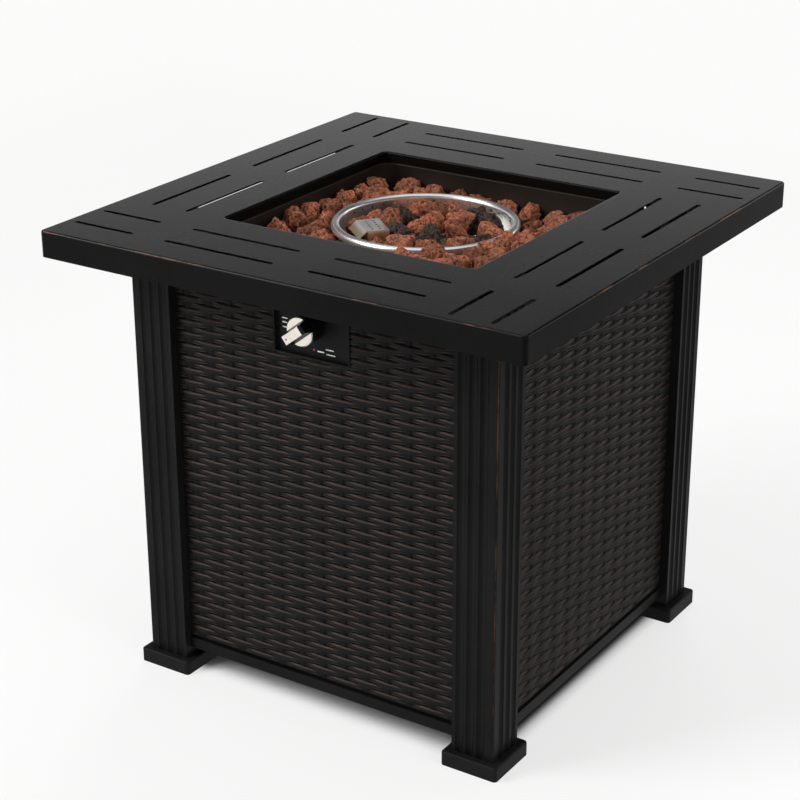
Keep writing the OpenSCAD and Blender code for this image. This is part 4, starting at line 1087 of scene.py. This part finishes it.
def makeScrews():
    mesh = bmesh.new()
    r, head = screws["radius"], screws["head"]
    shoulder = head * screws["shoulder"]
    for leaf in ("door_leaf_upper", "door_leaf_lower"):
        low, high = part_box(leaf)
        for x in screws["spots"]:
            for reach, start, end in ((r, 0.0, shoulder), (r * screws["crown"], shoulder, head)):
                made = bmesh.ops.create_cone(mesh, cap_ends=True, segments=20, radius1=reach,
                                             radius2=reach * screws["taper"], depth=end - start)["verts"]
                turn(mesh, made, -90, "X")
                spot = (x, screws["leaf"] + (start + end) / 2, (low.z + high.z) / 2)
                bmesh.ops.translate(mesh, verts=made, vec=spot)
    finishPiece(mesh, "hingeScrews", zincSteel, "door", smooth=False)


makeScrews()


# return flange along the bottom of the skirt and stiffeners under the top

underTop = {
    "skirt": 0.3538,
    "flange": 0.035,
    "bottom": 0.5996,
    "sheet": 0.0012,
    "rib": 0.2130,           # distance of a stiffener from the middle
    "ribLow": 0.6010,
    "ribHigh": 0.6332,
    "ribHalf": 0.2136,
}


def makeUnderTop():
    mesh = bmesh.new()
    low, high = underTop["bottom"], underTop["bottom"] + underTop["sheet"]
    outer, inner = underTop["skirt"], underTop["skirt"] - underTop["flange"]
    rings = []
    for half, z in ((outer, low), (inner, low), (inner, high), (outer, high)):
        spots = [(sideX * half, sideY * half, z) for sideX, sideY in ((1, 1), (-1, 1), (-1, -1), (1, -1))]
        rings.append([mesh.verts.new(spot) for spot in spots])
    for one, two in zip(rings, rings[1:] + rings[:1]):
        for i in range(4):
            j = (i + 1) % 4
            mesh.faces.new((one[i], one[j], two[j], two[i]))
    for quarter in range(4):
        made = bmesh.ops.create_cube(mesh, size=1.0)["verts"]
        for v in made:
            height = underTop["ribLow"] if v.co.z < 0 else underTop["ribHigh"]
            out = underTop["rib"] + v.co.x * underTop["sheet"]
            v.co = Vector((out, 2 * v.co.y * underTop["ribHalf"], height))
        turn(mesh, made, 90 * quarter, "Z")
    bmesh.ops.recalc_face_normals(mesh, faces=mesh.faces)
    finishPiece(mesh, "underTop", topCoat, "table", smooth=False)


makeUnderTop()
print("knob, marks, screws and sheet edges done")


# stage: floor, light and camera

floorLook = {
    "size": 20.0,
    "drop": 0.0005,              # under the feet
    "pale": (0.88, 0.88, 0.88),
    # tone of the painted shade between the feet
    "shade": (0.03, 0.03, 0.03),
    "glow": (0.925, 0.925, 0.921, 1.0),
    "base": (0.244, 0.272),      # from the middle, where the floor starts to glow
    "glowShare": (0.75, 0.66),   # on the left and on the right
    "farShare": 0.25,            # added far away
    "mirrorShare": 0.9,
    "mirrored": 0.95,            # level of the floor as seen in the object's own gloss
    "mirroredShade": 0.36,       # and on its shaded side
}
shadeEdges = {                   # of the painted shade on the floor between the feet
    "left": (-0.31, -0.28),
    "right": (0.240, 0.258),
    "front": (-0.225, -0.19),
    "back": (0.27, 0.3),
}


# painted shade: the floor between the feet is darkened
def gapShade(tree, x, y):
    across = times(tree, ramp(tree, x, *shadeEdges["left"]), ramp(tree, x, *shadeEdges["right"], 1.0, 0.0))
    along = times(tree, ramp(tree, y, *shadeEdges["front"]), ramp(tree, y, *shadeEdges["back"], 1.0, 0.0))
    return times(tree, across, along)


def floorMaterial():
    material = bpy.data.materials.new("paleFloor")
    material.use_nodes = True
    tree = material.node_tree
    tree.nodes.clear()
    path = add(tree, "LightPath").outputs
    x, y = axes(tree)[:2]
    out = calc(tree, "MAXIMUM", calc(tree, "ABSOLUTE", x), calc(tree, "ABSOLUTE", y))
    near = times(tree, ramp(tree, out, *floorLook["base"]), ramp(tree, x, 0.1, 0.6, *floorLook["glowShare"]))
    far = ramp(tree, out, 0.7, 2.5, 0.0, floorLook["farShare"])
    share = calc(tree, "ADD", near, far, clamp=True)
    # painted shade between the feet
    tone = mixTone(tree, gapShade(tree, x, y), floorLook["pale"], floorLook["shade"])
    mirrored = calc(tree, "MAXIMUM", path["Is Glossy Ray"], path["Is Transmission Ray"])
    shown = times(tree, path["Is Camera Ray"], share)
    seen = calc(tree, "MAXIMUM", shown, times(tree, mirrored, floorLook["mirrorShare"]))
    sides = ramp(tree, x, 0.1, 1.0, floorLook["mirrored"], floorLook["mirroredShade"])
    level = times(tree, path["Is Camera Ray"], ramp(tree, out, 0.8, 3.5, 1.0, 1.045))
    level = times(tree, level, ramp(tree, out, 4.0, 14.0, 1.0, 1.04))
    level = calc(tree, "ADD", level, times(tree, sides, mirrored))
    matt = add(tree, "BsdfDiffuse", {"Color": tone})
    glow = add(tree, "Emission", {"Color": floorLook["glow"], "Strength": level})
    both = add(tree, "MixShader", {0: seen, 1: matt.outputs[0], 2: glow.outputs[0]})
    add(tree, "OutputMaterial", {"Surface": both.outputs[0]})
    return material


def makeFloor():
    mesh = bmesh.new()
    bmesh.ops.create_grid(mesh, x_segments=1, y_segments=1, size=floorLook["size"])
    data = bpy.data.meshes.new("floor")
    mesh.to_mesh(data)
    mesh.free()
    floor = bpy.data.objects.new("floor", data)
    floor.location.z = -floorLook["drop"]
    scene.collection.objects.link(floor)
    data.materials.append(floorMaterial())


# a white sweep round the table, a dark band above it and a bright ceiling

studio = {
    "ambient": 0.42,
    "sweep": 0.9,
    "band": 0.012,
    "bandUp": (0.18, 0.31),      # upward share of a ray over which the sweep turns into the band
    "ceiling": 0.8,
    "ceilingUp": (0.66, 0.88),
}


def makeWorld():
    world = bpy.data.worlds.new("studio")
    world.use_nodes = True
    tree = world.node_tree
    tree.nodes.clear()
    path = add(tree, "LightPath").outputs
    up = add(tree, "SeparateXYZ", {0: add(tree, "TexCoord").outputs["Generated"]}).outputs[2]
    sweep = ramp(tree, up, *studio["bandUp"], studio["sweep"], studio["band"])
    sweep = calc(tree, "ADD", sweep, ramp(tree, up, *studio["ceilingUp"], 0.0, studio["ceiling"]))
    mirrored = calc(tree, "MAXIMUM", path["Is Glossy Ray"], path["Is Transmission Ray"])
    lit = times(tree, calc(tree, "SUBTRACT", 1.0, mirrored), studio["ambient"])
    strength = calc(tree, "ADD", times(tree, mirrored, sweep), lit)
    strength = calc(tree, "MAXIMUM", strength, path["Is Camera Ray"])
    glow = add(tree, "Background", {"Color": (1.0, 1.0, 1.0, 1.0), "Strength": strength})
    add(tree, "OutputWorld", {"Surface": glow.outputs[0]})
    scene.world = world


softboxes = {
    "keySoftbox": {"place": (-2.2, -2.4, 2.6), "target": (0, 0, 0.4), "size": (1.8, 1.8), "power": 130.0},
    "fillSoftbox": {"place": (2.8, -0.6, 2.0), "target": (0, 0, 0.4), "size": (1.6, 2.0), "power": 46.0},
    "backSoftbox": {"place": (-0.6, 2.6, 2.6), "target": (0, 0, 0.5), "size": (2.0, 1.2), "power": 50.0},
    "stripSoftbox": {"place": (1.6, 2.8, 1.0), "target": (0.27, 0, 0.35), "size": (1.8, 1.4), "power": 14.0},
    "sideSoftbox": {"place": (-1.7, -2.6, 0.62), "target": (0, -0.26, 0.4), "size": (0.8, 0.6), "power": 9.0},
}
notMirrored = ("fillSoftbox", "backSoftbox")


def makeSoftbox(name, place, target, size, power):
    data = bpy.data.lights.new(name, "AREA")
    data.shape = "RECTANGLE"
    data.size, data.size_y = size
    data.energy = power
    lamp = bpy.data.objects.new(name, data)
    lamp.location = place
    lamp.rotation_euler = (Vector(target) - Vector(place)).to_track_quat("-Z", "Y").to_euler()
    lamp.visible_glossy = name not in notMirrored
    scene.collection.objects.link(lamp)


view = {
    "place": (1.3661, -2.1525, 1.4135),
    "turns": ((33.187, "Z"), (67.488, "X"), (-0.219, "Z")),  # heading, pitch and roll
    "lens": 90.73,
    "sensor": 36.0,
}


def makeCamera():
    data = bpy.data.cameras.new("camera")
    data.lens = view["lens"]
    data.sensor_width = view["sensor"]
    camera = bpy.data.objects.new("camera", data)
    camera.location = view["place"]
    heading, pitch, roll = (Matrix.Rotation(math.radians(angle), 3, axis) for angle, axis in view["turns"])
    camera.rotation_euler = (heading @ pitch @ roll).to_euler()
    scene.collection.objects.link(camera)
    scene.camera = camera


makeFloor()
makeWorld()
for name, settings in softboxes.items():
    makeSoftbox(name, **settings)
makeCamera()
print("stage done")
